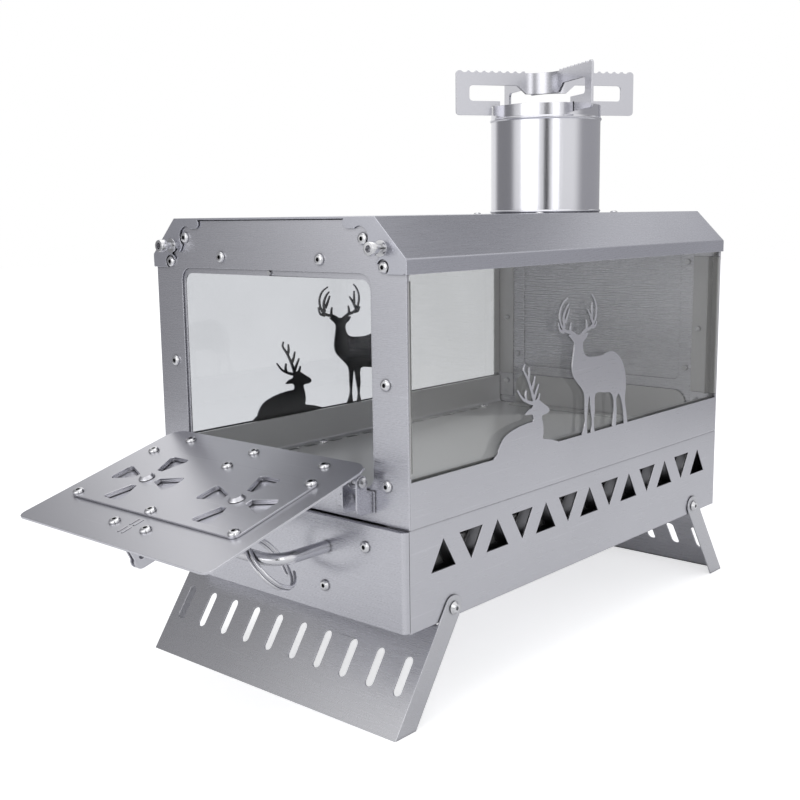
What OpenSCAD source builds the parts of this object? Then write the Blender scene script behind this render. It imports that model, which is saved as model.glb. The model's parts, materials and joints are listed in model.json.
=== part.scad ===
// Tent wood stove: sheet steel body on folding legs, glass sides, drop-down door, ash drawer, flue collar
// X runs across, +Y to the rear, +Z up. The origin is on the floor under the middle of the part at rest.

/* [Body] */
// Length of the body from the front plate to the rear plate
body_len = 400; // [380:2:460]
// Width of the body over its side faces
body_w = 234; // [230:1:250]
// Height of the base box that holds the ash drawer
base_h = 65; // [62:0.5:75]
// Height of the roof's top face above the underside of the base
roof_z = 250.5; // [246:0.5:262]
// Thickness of the body's sheet
sheet = 1.2; // [1:0.1:1.3]
// Play between pieces that move past each other
play = 0.3; // [0.25:0.05:0.4]
// Height of the side rails above the base box
rail_h = 29; // [28:0.5:36]
// Width of the flanges that join the rails to the base box
flange_w = 18; // [18:0.5:20]
// Thickness of the side glass
glass_t = 4; // [3:0.5:5]

/* [Base vents] */
// Distance from one triangle to the next
vent_pitch = 28; // [26:0.5:34]
// Width of a triangle at its base
vent_w = 24; // [18:0.5:25]
// Height of a triangle
vent_h = 19.7; // [14:0.1:22]
// Height of the row of triangles above the underside of the base
vent_z = 34; // [26:0.5:36]
// Distance from the side wall in to the inner vent wall
liner_gap = 9; // [8:0.5:10]

/* [Fire bed] */
// Thickness of the bed plate
bed_t = 2; // [1.5:0.1:3]
// Distance from one air slot to the next
slot_pitch = 20; // [17:0.5:21]
// Length of an air slot
slot_len = 14; // [10:0.5:15]
// Width of an air slot
slot_w = 5; // [3:0.5:6]
// Distance from one bed screw to the next
bay_len = 108; // [104:1:114]
// Width of the fire plate
fire_w = 144; // [110:2:160]
// Length of the fire plate
fire_len = 330; // [260:2:340]
// Height of the low wall at the rear of the bed
baffle_h = 29; // [20:0.5:40]

/* [Roof and flue] */
// Run of the sloping eave in from the roof's side
eave_run = 24.5; // [20:0.5:28]
// Height of the lip along each eave
eave_h = 9; // [7:0.5:10]
// Reach of each ear's arm in from the roof's bend
ear_arm = 26; // [20:0.5:32]
// Outer diameter of the flue collar
flue_d = 90; // [80:1:96]
// Height of the flue collar above the roof
flue_h = 86.5; // [60:0.5:110]
// Wall of the flue collar
flue_wall = 1.2; // [1:0.1:1.5]
// Distance from the middle of the body back to the flue
flue_back = 112; // [90:1:118]
// Width of the flange under the roof round the collar
collar_flange = 18; // [16:0.5:20]
// Radius of the bead that stops the flue pipe
bead_r = 1.3; // [0.9:0.1:1.8]
// Length of the collar above the bead
collar_lip = 11; // [9:0.5:18]

/* [Pot stand] */
// Reach of each arm from the flue's axis
stand_reach = 76.5; // [68:0.5:90]
// Height of the stand's plates
stand_h = 35.5; // [34:0.5:40]
// Depth of the notch that drops over the collar's rim
stand_notch = 7; // [5:0.5:9]
// Thickness of the stand's plates
stand_t = 2; // [1.5:0.1:2.5]
// Depth of the bars round the arm's window
stand_bar = 11.5; // [10:0.5:12]
// Radius of the bend between a plate's two arms
stand_bend = 22; // [18:0.5:24]
// Height of the plates at that bend
stand_neck = 18.2; // [16:0.1:20]
// Distance from one tooth to the next along the top edge
tooth_pitch = 6.8; // [5:0.1:8]
// Direction of the first arm, turned from +X towards +Y
stand_turn = 57.5; // [50:0.1:70]

/* [Front opening and door] */
// Width of the front frame at each side of the opening to the firebox
frame_side = 29.5; // [28:0.5:34]
// Height of the front frame above the opening
frame_head = 37.3; // [36:0.1:44]
// Height of the front frame under the opening
frame_sill = 21.5; // [21:0.5:26]
// How far the front plate's edge lies outside the seal frame's opening
mouth_rim = 2; // [1:0.1:2.2]
// How far the closed door laps over the opening at each side and the top
door_lap = 6; // [5:0.1:6.5]
// Thickness of the door plate
door_t = 1.5; // [1.2:0.1:1.8]
// Distance of the hinge pin in front of the front plate
hinge_out = 10.5; // [10.5:0.1:11]
// Angle of the open door from closed
door_angle = 105.7; // [90:0.1:108]
// Gap at each side between the closed door's baffle and the opening
baffle_gap = 7.5; // [6:0.5:10]
// Thickness of the door's inner plate
baffle_d = 1.5; // [1.2:0.1:1.8]
// Height of that plate
door_baffle_h = 70; // [68:1:76]
// Distance of an air vent's centre in from the baffle's side
fan_in = 36.2; // [33:0.2:40]
// Outer radius of an air vent's petals
fan_r = 29; // [22:0.5:30]
// Depth of the door's handle fins
fin_depth = 26; // [18:0.5:30]

/* [Ash drawer] */
// Height of the drawer's tray
tray_h = 46; // [40:1:50]
// Depth of the drawer's front panel
panel_d = 5; // [4:0.1:6]
// Diameter of the handle's rod
rod_d = 8; // [6:0.5:9]
// Distance between the handle's two ends
handle_w = 104; // [90:1:120]
// Reach of the handle out from the drawer's front
handle_reach = 43; // [41:0.5:52]
// Radius of the handle's bends
handle_bend = 14; // [10:0.5:16]
// Height of the handle above the underside of the base
handle_z = 45; // [40:0.5:48]
// Mean radius of the pull ring
ring_r = 20; // [16:0.5:20.5]
// Thickness of the ring's wire
wire_d = 2.3; // [1.8:0.1:2.6]
// Number of turns of wire in the ring
ring_turns = 2; // [2:1:3]

/* [Legs] */
// Height of the base box above the floor
leg_h = 62; // [45:1:75]
// Lean of the opened legs away from upright
leg_lean = 34.5; // [20:0.5:38]
// Width of a leg's side flanges
leg_w = 16; // [14:0.5:20]
// Distance of a leg's pivot in from the end of the body
pivot_in = 40; // [30:1:60]
// Height of the pivots above the underside of the base
pivot_z = 7; // [6.5:0.5:9]
// Distance from one leg slot to the next
leg_slot_pitch = 23.6; // [16:0.1:30]
// Length of a leg slot
leg_slot_len = 25.5; // [16:0.5:28]
// Width of a leg slot
leg_slot_w = 6.5; // [3:0.5:7]

/* [Screws] */
// Diameter of the button heads
head_d = 7.4; // [6:0.1:7.6]
// Diameter of the screws' shanks
shank_d = 4; // [3:0.1:4.2]

/* [Hidden] */
$fn = 48;

eps = 0.01;
half = body_w / 2;
front = -body_len / 2;
rear = body_len / 2;
fit = 0.08;                              // radial clearance of pins and shafts in their holes
hole_d = shank_d + 0.2;                  // hole for a screw's shank
half_bend = tan(22.5);                   // shift of a bend line of the 45 degree eave per unit of depth

// Roof
roof_half = half + play + sheet;
roof_flat = roof_half - eave_run;        // half width of the flat top
eave_z = roof_z - eave_run;
lip_z = eave_z - eave_h;
roof_front = front - play - sheet;
collar_top = roof_z + flue_h;
collar_in = flue_d / 2 - flue_wall;
rivet_ring = flue_d / 2 + collar_flange * 2 / 3;

// Rails, bed and glass
rail_top = base_h + rail_h;
bed_z = base_h + sheet;
bed_top = bed_z + bed_t;
inner = half - sheet;                    // inner face of the side walls
glass_in = inner - play - glass_t;       // inner face of the glass
post_x = glass_in - play;                // outer face of the posts behind the glass
mouth = half - frame_side;               // half width of the opening
tab_in = mouth + mouth_rim + 4.5;        // inner edge of the rails' end tabs and of the posts
tab_t0 = front + sheet;                  // front face of what is screwed behind the front plate
tab_t1 = tab_t0 + sheet;
inside = body_len / 2 - 2 * sheet - play;// half length of what lies between the tabs
side_slot_x = half - flange_w + 3.5;     // the row of air slots and bed screws
bed_fold = post_x - bed_t - side_slot_x - head_d / 2 - play; // inner radius of the bed's folds
top_flange_z = lip_z + 6;                // top of the rails that close the glass at the top

// Front opening
mouth_z = base_h + frame_sill;
mouth_top = roof_z - frame_head;
catch_d = 3;
catch_z = mouth_top + mouth_rim;         // stud that the closed door's top edge meets
plate_top = catch_z + catch_d / 2 + play;
hinge_z = mouth_z + 6;
hinge_y = front - hinge_out;
door_low = mouth_z - 0.2;
door_h = mouth_top + door_lap - 1 - door_low;
door_w = 2 * (mouth + door_lap);
door_baffle_w = 2 * (mouth - baffle_gap);
door_off = 0.8;                          // the closed door stands this far off the front plate
door_y = front - door_off;               // inner face of the closed door
pin_d = 4;
ear_r = 4.5;
bracket_out = hinge_out + ear_r;
ear_x = [mouth - 12, mouth - 0.2];       // inner faces of a bracket's two ears
door_ear_x = mouth - 6.7;
bracket_z = hinge_z - 20.5;
strip_z = door_low + 2;
strip_h = 18;
strip_screw_z = strip_z + strip_h / 2;
baffle_z = door_low + 30;
fan_x = door_baffle_w / 2 - fan_in;
fan_z = baffle_z + door_baffle_h / 2;
latch_z = door_low + door_h - 20;
knob_r = 6;
knob_h = 5;
knob_grip = 2;                           // length of the axle in its knob
disc_t = 1;
disc_y = door_y - door_t - play - disc_t;

// Screws in the front and rear plates, given for the right-hand side as [x, z]
screw_x = half - 17;
plate_screws = [[screw_x, rail_top - 4.2], [screw_x, (rail_top + lip_z) / 2 - 4], [screw_x, lip_z + 4]];
head_screws = [[roof_flat - 10.3, roof_z - 13], [mouth - 40.8, mouth_top + 11.5]];
bolt = [half - 18.5, lip_z + 15];
bolt_d = 5;
bolt_out = 12;
rear_half = mouth - 5.5;                 // half width of the rear plate's opening
rear_z0 = rail_top + 12;
rear_z1 = lip_z - 2;
rear_screw_x = rear_half + 6.5;
rear_panel_screw_z = [rear_z0 + 11, rear_z1 - 7];

// Ash drawer
liner_x = half - liner_gap;              // outer face of the inner vent wall
tray_x = liner_x - sheet - 0.6;
tray_z = sheet + play;
tray_y0 = front - panel_d + sheet;
tray_y1 = rear - 14;
panel_y = front - play - panel_d;
panel_low = 1.5;
panel_top = base_h - play;
drawer_screws_at = [[half - 31.2, base_h - 14.1], [handle_w / 2 - 2.1, handle_z - 26]];
bar_y = panel_y - handle_reach;
ring_x = 33;                             // where the ring hangs on the bar
ring_back = 58;                          // its swing back towards the drawer from straight down
ring_yaw = -50;                          // its turn on the bar
ring_pitch = wire_d + 0.6;
ring_hang = ring_r - wire_d / 2 - rod_d / 2 - 0.7;

// Legs
pivot_y = body_len / 2 - pivot_in;
pivot_d = 5;
leg_x = half + play;
// upper edge of the cross plate below the pivot: it stops just under the base
leg_top = (pivot_z + play + leg_w / 2 * sin(leg_lean)) / cos(leg_lean);
foot_run = (leg_h + pivot_z + leg_w / 2 * sin(leg_lean)) / cos(leg_lean);

// Middle of the part at rest, from the open door's edge to the rear foot
door_tilt = door_angle - 90;
door_arm = door_low + door_h - hinge_z;
door_edge_y = hinge_y - door_arm * cos(door_tilt) - (hinge_out - door_off) * sin(door_tilt);
rear_foot_y = pivot_y + foot_run * sin(leg_lean) + leg_w / 2 * cos(leg_lean);
mid_y = (door_edge_y + rear_foot_y) / 2;

// Helpers: place the part, make boxes, and draw sheets seen along X or along Y
module placed() { translate([0, -mid_y, leg_h]) children(); }
module block(x, y, z) { translate([x[0], y[0], z[0]]) cube([x[1] - x[0], y[1] - y[0], z[1] - z[0]]); }
module along_y(y) { translate([0, y[1], 0]) rotate([90, 0, 0]) linear_extrude(y[1] - y[0]) children(); }
module along_x(x) { translate([x[0], 0, 0]) rotate([90, 0, 90]) linear_extrude(x[1] - x[0]) children(); }
module both_sides() { children(); mirror([1, 0, 0]) children(); }
module right_or_left(right) { mirror([right ? 0 : 1, 0, 0]) children(); }

// Points along an arc, and the outline of a box with rounded corners
function arc(c, r, a0, a1, n = 6) =
    [for (i = [0:n]) let (a = a0 + (a1 - a0) * i / n) c + r * [cos(a), sin(a)]];
function round_box(x, y, r) = concat(
    arc([x[1] - r, y[1] - r], r, 0, 90), arc([x[0] + r, y[1] - r], r, 90, 180),
    arc([x[0] + r, y[0] + r], r, 180, 270), arc([x[1] - r, y[0] + r], r, 270, 360));
// A rounded slot from a to b, of width w
module slot(a, b, w) {
    along = (b - a) / norm(b - a);
    across = [-along[1], along[0]] * w / 2;
    translate(a) circle(d = w);
    translate(b) circle(d = w);
    polygon([a + across, b + across, b - across, a - across]);
}

// Smooth curves through a few points, closed or open, and a tapering band along an open one
function curve_at(a, b, c, d, t) = 0.5 * (2 * b + (c - a) * t + (2 * a - 5 * b + 4 * c - d) * t * t
                                          + (3 * b - a - 3 * c + d) * t * t * t);
function closed_curve(p, n = 3) = [for (i = [0:len(p) - 1], j = [0:n - 1])
    curve_at(p[(i + len(p) - 1) % len(p)], p[i], p[(i + 1) % len(p)], p[(i + 2) % len(p)], j / n)];
function open_curve(p, n = 3) = concat([for (i = [0:len(p) - 2], j = [0:n - 1])
    curve_at(p[max(i - 1, 0)], p[i], p[i + 1], p[min(i + 2, len(p) - 1)], j / n)], [p[len(p) - 1]]);
function heading(c, i) = let (v = c[min(i + 1, len(c) - 1)] - c[max(i - 1, 0)]) v / norm(v);
module band(p, w0, w1) {
    c = open_curve(p);
    last = len(c) - 1;
    side = [for (i = [0:last]) let (h = heading(c, i)) [-h[1], h[0]] * (w0 + (w1 - w0) * i / last) / 2];
    polygon(concat([for (i = [0:last]) c[i] + side[i]], [for (i = [last:-1:0]) c[i] - side[i]]));
}

// A button-head screw along +Z: its seat at z = 0, its shank below
module button_screw(len, head = head_d, shank = shank_d) {
    rim = 0.6;
    height = head * 0.28;
    difference() {
        union() {
            cylinder(h = rim, d = head);
            translate([0, 0, rim - eps]) cylinder(h = height - rim + eps, d1 = head, d2 = head * 0.62);
            translate([0, 0, -len]) cylinder(h = len + eps, d = shank);
        }
        translate([0, 0, height / 2]) cylinder(h = height, d = head * 0.36, $fn = 6);
    }
}
// Turns a screw so that its head faces the front, the rear or the right
module facing_front(x, y, z) { translate([x, y, z]) rotate([90, 0, 0]) children(); }
module facing_rear(x, y, z) { translate([x, y, z]) rotate([-90, 0, 0]) children(); }
module facing_right(x, y, z) { translate([x, y, z]) rotate([0, 90, 0]) children(); }
module round_y(x, z, y, d) { translate([x, y[0], z]) rotate([-90, 0, 0]) cylinder(h = y[1] - y[0], d = d); }
module round_x(y, z, x, d) { translate([x[0], y, z]) rotate([0, 90, 0]) cylinder(h = x[1] - x[0], d = d); }

// ---- Base box ----
vent_half = floor((body_len / 2 - 18) / (2 * vent_pitch)) * 2;
module vent_row(x) {
    for (k = [-vent_half:vent_half])
        along_x(x) translate([k * vent_pitch, vent_z]) polygon(k % 2 == 0
            ? [[-vent_w / 2, 0], [vent_w / 2, 0], [0, vent_h]]
            : [[-vent_w / 2, vent_h], [0, 0], [vent_w / 2, vent_h]]);
}
bays = max(1, floor((body_len - 60) / bay_len));
bed_screw_y = [for (k = [0:bays]) (k - bays / 2) * bay_len];
slots_in_bay = floor((bay_len - slot_len - 12) / slot_pitch) + 1;
// The air slots and screw holes along one edge of the bed
module bed_row(z) {
    for (b = [0:bays - 1], s = [0:slots_in_bay - 1]) {
        y = bed_screw_y[b] + bay_len / 2 + (s - (slots_in_bay - 1) / 2) * slot_pitch;
        translate([side_slot_x, 0, z[0]]) linear_extrude(z[1] - z[0])
            slot([0, y - (slot_len - slot_w) / 2], [0, y + (slot_len - slot_w) / 2], slot_w);
    }
    for (y = bed_screw_y) translate([side_slot_x, y, z[0]]) cylinder(h = z[1] - z[0], d = hole_d);
}

module base_pan() {
    color("silver") placed() difference() {
        union() {
            block([-half, half], [front, rear], [0, sheet]);
            both_sides() {
                block([inner, half], [front, rear], [0, base_h]);
                block([half - flange_w, half], [front, rear], [base_h - sheet, base_h]);
            }
        }
        both_sides() {
            vent_row([inner - 1, half + 1]);
            bed_row([base_h - sheet - 1, base_h + 1]);
            for (y = [-pivot_y, pivot_y]) round_x(y, pivot_z, [inner - 1, half + 1], pivot_d + 2 * fit);
        }
    }
}

module base_rear_panel() {
    low = sheet;
    top = base_h - sheet;
    color("silver") placed() {
        block([-inner, inner], [rear - sheet, rear], [low, top]);
        both_sides() block([inner - sheet, inner], [rear - 9, rear - sheet], [low, top]);
    }
}

// Inner vent wall: hangs from the base box's flange and guides the drawer
module vent_liner() {
    y = [front + play, rear - 10];
    difference() {
        union() {
            block([liner_x - sheet, liner_x], y, [sheet, base_h - sheet]);
            block([liner_x, inner - play], y, [base_h - 2 * sheet, base_h - sheet]);
        }
        vent_row([liner_x - sheet - 1, liner_x + 1]);
    }
}
module vent_liner_left() { color("silver") placed() right_or_left(false) vent_liner(); }
module vent_liner_right() { color("silver") placed() right_or_left(true) vent_liner(); }

// ---- Fire bed, folded up along both sides to hold the glass against the rails ----
module bed_plate() {
    over = rail_top + 20;
    color("darkgray") placed() difference() {
        along_y([-inside, inside]) difference() {
            polygon(round_box([-post_x, post_x], [bed_z, over], bed_fold + bed_t));
            polygon(round_box([bed_t - post_x, post_x - bed_t], [bed_top, over + 20], bed_fold));
            translate([-half, rail_top]) square([2 * half, 40]);
        }
        both_sides() bed_row([bed_z - 1, bed_top + 1]);
    }
}
module fire_plate() {
    color("darkgray") placed() translate([0, 0, bed_top]) linear_extrude(sheet)
        polygon(round_box([-fire_w / 2, fire_w / 2], [-fire_len / 2, fire_len / 2], 6));
}
module bed_screws() {
    color("silver") placed() both_sides() for (y = bed_screw_y)
        translate([side_slot_x, y, bed_top]) button_screw(bed_t + 2 * sheet + 2);
}
module rear_baffle() {
    w = mouth + 2;
    r = 12;
    y = inside - sheet;
    arc_z = bed_top + baffle_h - r;
    color("darkgray") placed() {
        along_y([y, y + sheet]) polygon(concat([[w, bed_top]], arc([w - r, arc_z], r, 0, 90),
                                               arc([r - w, arc_z], r, 90, 180), [[-w, bed_top]]));
        block([-w, w], [y - r, y], [bed_top, bed_top + sheet]);
    }
}

// ---- Side rails with their stags, seen from the right: Y to the rear, heights above the rail ----
stag_body = [[-113, -2], [-112, 3], [-109, 8.5], [-103, 13.5], [-91, 17], [-79, 18.5], [-72, 19],
             [-73, 23.5], [-81, 24.3], [-77.5, 27.2], [-73, 28.5], [-71, 32.5], [-66, 33], [-60, 29.5],
             [-54, 26], [-52.8, 23.2], [-56, 21.8], [-61.5, 21], [-60.2, 15], [-59.6, 9], [-60.3, 5.5],
             [-56, 4.2], [-47, 2], [-43, -2]];
stag_beams = [[[-70.5, 31], [-73.5, 39], [-78.5, 48.5], [-83, 54.5], [-82, 58.5]],
              [[-78, 48], [-76.8, 51], [-77, 56]], [[-73.5, 41], [-71.5, 44.5], [-70, 49.5]],
              [[-71, 34], [-68.5, 38.5], [-65.5, 43.5]], [[-67, 32], [-65.5, 34], [-64.5, 37]],
              [[-71, 31], [-77, 32.5], [-84.5, 36], [-90, 42]], [[-80, 33.5], [-80.6, 37], [-80, 41]]];
standing_body = [[-11.5, -2], [-10, 2], [-7.5, 8], [-7.8, 18], [-8.3, 28], [-12, 33.5], [-18, 38.5],
                 [-23.5, 44], [-25, 50], [-24, 57], [-22.6, 65], [-24, 68.5], [-29.8, 73.2],
                 [-25.5, 73.4], [-20.5, 71.5], [-17, 72.8], [-13, 71.5], [-8.5, 73], [-4.8, 72.6],
                 [-7, 69.3], [-11, 66.5], [-10.8, 61], [-6.5, 56.4], [3, 55], [13, 54.8], [21, 56.2],
                 [28, 56.6], [36, 53.5], [43.5, 47], [48, 37], [49, 27], [47.8, 18], [50.3, 8],
                 [52, -2], [47.5, -2], [46, 8], [43.2, 17], [39, 23.5], [35.5, 20], [36.2, 10],
                 [35, -2], [30.5, -2], [32, 9], [32, 19], [27.5, 25.5], [18, 27], [6.2, 27.5],
                 [5.6, 15], [4.5, 6], [6, -2], [1, -2], [2.3, 6], [0.5, 16], [-2, 27.3], [-4, 17],
                 [-5, 7], [-4.5, -2]];
standing_beams = [[[-19, 71], [-25.5, 74.5], [-34, 76.5], [-39.5, 81.5], [-41, 89],
                   [-37.5, 95.5], [-31, 99]],
                  [[-35, 76], [-40.5, 77.5], [-42.5, 83]],
                  [[-35.5, 78.5], [-36, 86], [-33, 92], [-29.5, 95]],
                  [[-34.5, 82], [-31.5, 86.5], [-29, 91.5]], [[-27.5, 75], [-27.5, 78.5], [-26.8, 82]],
                  [[-15, 71], [-8.5, 74.5], [-0.5, 76.5], [4.5, 81.5], [6, 89],
                   [3.5, 95.5], [-0.5, 99.5]],
                  [[0.5, 76.5], [4.5, 77], [6.5, 80.5]], [[2, 79], [-1.5, 84.5], [-5.8, 89.5]],
                  [[-0.2, 82], [0, 88], [0, 94]], [[-6.8, 75], [-6.5, 78.5], [-7.5, 82]]];
module stag(body, beams) {
    polygon(closed_curve(body));
    for (b = beams) band(b, 2.9, 1.1);
}
module end_tab(z) {
    difference() {
        block([tab_in, half], [tab_t0, tab_t1], z);
        for (s = plate_screws) round_y(s[0], s[1], [tab_t0 - 1, tab_t1 + 1], hole_d);
    }
}
module both_ends() { children(); mirror([0, 1, 0]) children(); }
module side_rail() {
    y = [front + sheet, rear - sheet];
    along_x([inner, half]) {
        translate([y[0], base_h]) square([y[1] - y[0], rail_h]);
        translate([0, rail_top]) stag(stag_body, stag_beams);
        translate([0, rail_top]) stag(standing_body, standing_beams);
    }
    difference() {
        block([half - flange_w, inner + eps], y, [base_h, bed_z]);
        bed_row([base_h - 1, bed_z + 1]);
    }
    both_ends() end_tab([base_h + 10, rail_top + 3]);
}
module side_rail_left() { color("silver") placed() right_or_left(false) side_rail(); }
module side_rail_right() { color("silver") placed() right_or_left(true) side_rail(); }

module glass() {
    block([glass_in, inner - play], [-inside, inside], [bed_z + play, top_flange_z - sheet - play]);
}
module glass_left() { color("lightcyan") placed() right_or_left(false) glass(); }
module glass_right() { color("lightcyan") placed() right_or_left(true) glass(); }

// Closes the glass at the top, behind the roof's lip
module top_rail() {
    y = [front + sheet, rear - sheet];
    block([inner, half], y, [lip_z + 0.8, top_flange_z]);
    block([glass_in - 2, inner + eps], y, [top_flange_z - sheet, top_flange_z]);
    both_ends() end_tab([lip_z - 4, top_flange_z]);
}
module top_rail_left() { color("silver") placed() right_or_left(false) top_rail(); }
module top_rail_right() { color("silver") placed() right_or_left(true) top_rail(); }

// ---- Front and rear plates ----
// The body's end outline, which keeps a little inside the roof
module end_outline() {
    depth = sheet + play;
    polygon([[-half, base_h + play], [half, base_h + play], [half, eave_z - depth * half_bend],
             [roof_flat - depth * half_bend, roof_z - depth],
             [-roof_flat + depth * half_bend, roof_z - depth], [-half, eave_z - depth * half_bend]]);
}
// Flanges that turn back from the plate under the bed and under the roof
module end_flanges() {
    reach = 13;
    low_x = half - flange_w - 2;
    top_x = roof_flat - 8;
    block([-low_x, low_x], [front, front + reach], [base_h, bed_z]);
    block([-top_x, top_x], [front, front + reach], [roof_z - 2 * sheet - play, roof_z - sheet - play]);
}
module plate_holes(y) {
    both_sides() {
        for (s = plate_screws) round_y(s[0], s[1], y, hole_d);
        round_y(bolt[0], bolt[1], y, bolt_d + 0.2);
    }
}
module bracket_holes(y) { both_sides() for (x = bracket_screw_x) round_y(x, bracket_screw_z, y, hole_d); }
module front_frame() {
    y = [front - 1, front + sheet + 1];
    color("gainsboro") placed() {
        difference() {
            along_y([front, front + sheet]) difference() {
                end_outline();
                polygon(round_box([-(mouth + mouth_rim), mouth + mouth_rim],
                                  [mouth_z - mouth_rim, plate_top], 9));
            }
            plate_holes(y);
            bracket_holes(y);
            both_sides() for (s = head_screws) round_y(s[0], s[1], y, hole_d);
        }
        end_flanges();
    }
}
module seal_frame() {
    y = [tab_t0 - 1, tab_t1 + 1];
    edge = tab_in - 1;
    color("gainsboro") placed() difference() {
        along_y([tab_t0, tab_t1]) difference() {
            polygon(round_box([-edge, edge], [bracket_z + 0.5, roof_z - 8], 3));
            polygon(round_box([-mouth, mouth], [mouth_z, mouth_top], 7));
        }
        bracket_holes(y);
        round_y(0, catch_z, y, catch_d + 0.2);
        both_sides() for (s = head_screws) round_y(s[0], s[1], y, hole_d);
    }
}
module rear_frame() {
    y = [rear - sheet - 1, rear + 1];
    color("gainsboro") placed() {
        difference() {
            along_y([rear - sheet, rear]) difference() {
                end_outline();
                polygon(round_box([-rear_half, rear_half], [rear_z0, rear_z1], 5));
            }
            plate_holes(y);
            both_sides() for (z = rear_panel_screw_z) round_y(rear_screw_x, z, y, hole_d);
        }
        mirror([0, 1, 0]) end_flanges();
    }
}
module rear_panel() {
    edge = rear_screw_x + 6;
    color("gainsboro") placed() difference() {
        along_y([rear, rear + sheet]) polygon(round_box([-edge, edge], [rear_z0 - 8, rear_z1 + 6], 6));
        both_sides() for (z = rear_panel_screw_z)
            round_y(rear_screw_x, z, [rear - 1, rear + sheet + 1], hole_d);
    }
}

// Upright angles that hold the glass from inside, screwed behind the plates
module corner_post() {
    z = [rail_top + 3 + play, lip_z - 4 - play];
    difference() {
        union() {
            block([tab_in, half], [tab_t0, tab_t1], z);
            block([post_x - sheet, post_x], [tab_t1 - eps, tab_t1 + 8], z);
        }
        for (s = plate_screws) round_y(s[0], s[1], [tab_t0 - 1, tab_t1 + 1], hole_d);
    }
}
module corner_posts_front() { color("gray") placed() both_sides() corner_post(); }
module corner_posts_rear() { color("gray") placed() mirror([0, 1, 0]) both_sides() corner_post(); }

screw_len = 2 * sheet + 3;
module frame_screws_front() {
    color("white") placed() both_sides() for (s = concat(plate_screws, head_screws))
        facing_front(s[0], front, s[1]) button_screw(screw_len);
}
module frame_screws_rear() {
    color("white") placed() both_sides() {
        for (s = plate_screws) facing_rear(s[0], rear, s[1]) button_screw(screw_len);
        for (z = rear_panel_screw_z) facing_rear(rear_screw_x, rear + sheet, z) button_screw(screw_len);
    }
}

// Bolt with a socket head that the roof's slotted ear drops over, and its nut inside the plate
module roof_bolt() {
    head = 8.5;
    facing_front(bolt[0], front, bolt[1]) difference() {
        union() {
            translate([0, 0, -sheet - 4]) cylinder(h = bolt_out + sheet + 4, d = bolt_d);
            translate([0, 0, bolt_out - 5]) cylinder(h = 5, d = head);
            translate([0, 0, sheet + 2 * play]) cylinder(h = 1.5, d = head + 1.5);
            translate([0, 0, -sheet - 3]) cylinder(h = 3, d = head + 0.8, $fn = 6);
        }
        translate([0, 0, bolt_out - 2.5]) cylinder(h = 3, d = 4.2, $fn = 6);
    }
}
module roof_bolts_front() { color("white") placed() both_sides() roof_bolt(); }
module roof_bolts_rear() { color("white") placed() mirror([0, 1, 0]) both_sides() roof_bolt(); }

// Stud over the opening
module door_catch() {
    color("white") placed() facing_front(0, tab_t1, catch_z) cylinder(h = 2 * sheet + play, d = catch_d);
}

// ---- Hinge brackets: a plate on the front plate with two ears that reach round to the pin ----
bracket_x = [mouth - 30, mouth + 2.5];
bracket_screw_x = [mouth - 22.5, mouth - 5.1];
bracket_screw_z = bracket_z + 6.5;
bracket_top = door_low - 0.8;
module bracket_ear_outline() {
    difference() {
        union() {
            polygon(concat([[front - sheet, bracket_top], [front - sheet, bracket_z]],
                           arc([front - bracket_out + 5, bracket_z + 5], 5, 270, 180),
                           [[front - bracket_out, hinge_z], [hinge_y + ear_r, hinge_z],
                            [hinge_y + ear_r, bracket_top]]));
            translate([hinge_y, hinge_z]) circle(ear_r);
        }
        translate([hinge_y, hinge_z]) circle(d = pin_d + 2 * fit);
    }
}
module hinge_bracket() {
    difference() {
        block(bracket_x, [front - sheet, front], [bracket_z, bracket_top]);
        for (x = bracket_screw_x) round_y(x, bracket_screw_z, [front - sheet - 1, front + 1], hole_d);
    }
    for (x = ear_x) along_x([x, x + sheet]) bracket_ear_outline();
}
module hinge_bracket_left() { color("gainsboro") placed() right_or_left(false) hinge_bracket(); }
module hinge_bracket_right() { color("gainsboro") placed() right_or_left(true) hinge_bracket(); }
module hinge_bracket_screws() {
    color("white") placed() both_sides() for (x = bracket_screw_x)
        facing_front(x, front - sheet, bracket_screw_z) button_screw(3 * sheet + 1, 6.4);
}
module hinge_pins() {
    head = 1.4;
    x0 = ear_x[0] - play;
    x1 = ear_x[1] + sheet + play;
    color("white") placed() both_sides() {
        facing_right(x0 - head, hinge_y, hinge_z) cylinder(h = head, d = pin_d + 2.4);
        facing_right(x0 - eps, hinge_y, hinge_z) cylinder(h = x1 - x0 + 2 * eps, d = pin_d);
        facing_right(x1, hinge_y, hinge_z) cylinder(h = head, d = pin_d + 2.4);
    }
}

// ---- Roof ----
// The roof's profile at a depth under its outer face
function roof_line(d) = [[roof_half - d, lip_z], [roof_half - d, eave_z - d * half_bend],
                         [roof_flat - d * half_bend, roof_z - d]];
function flip(p) = [for (i = [len(p) - 1:-1:0]) [-p[i][0], p[i][1]]];
function reversed(p) = [for (i = [len(p) - 1:-1:0]) p[i]];
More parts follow.
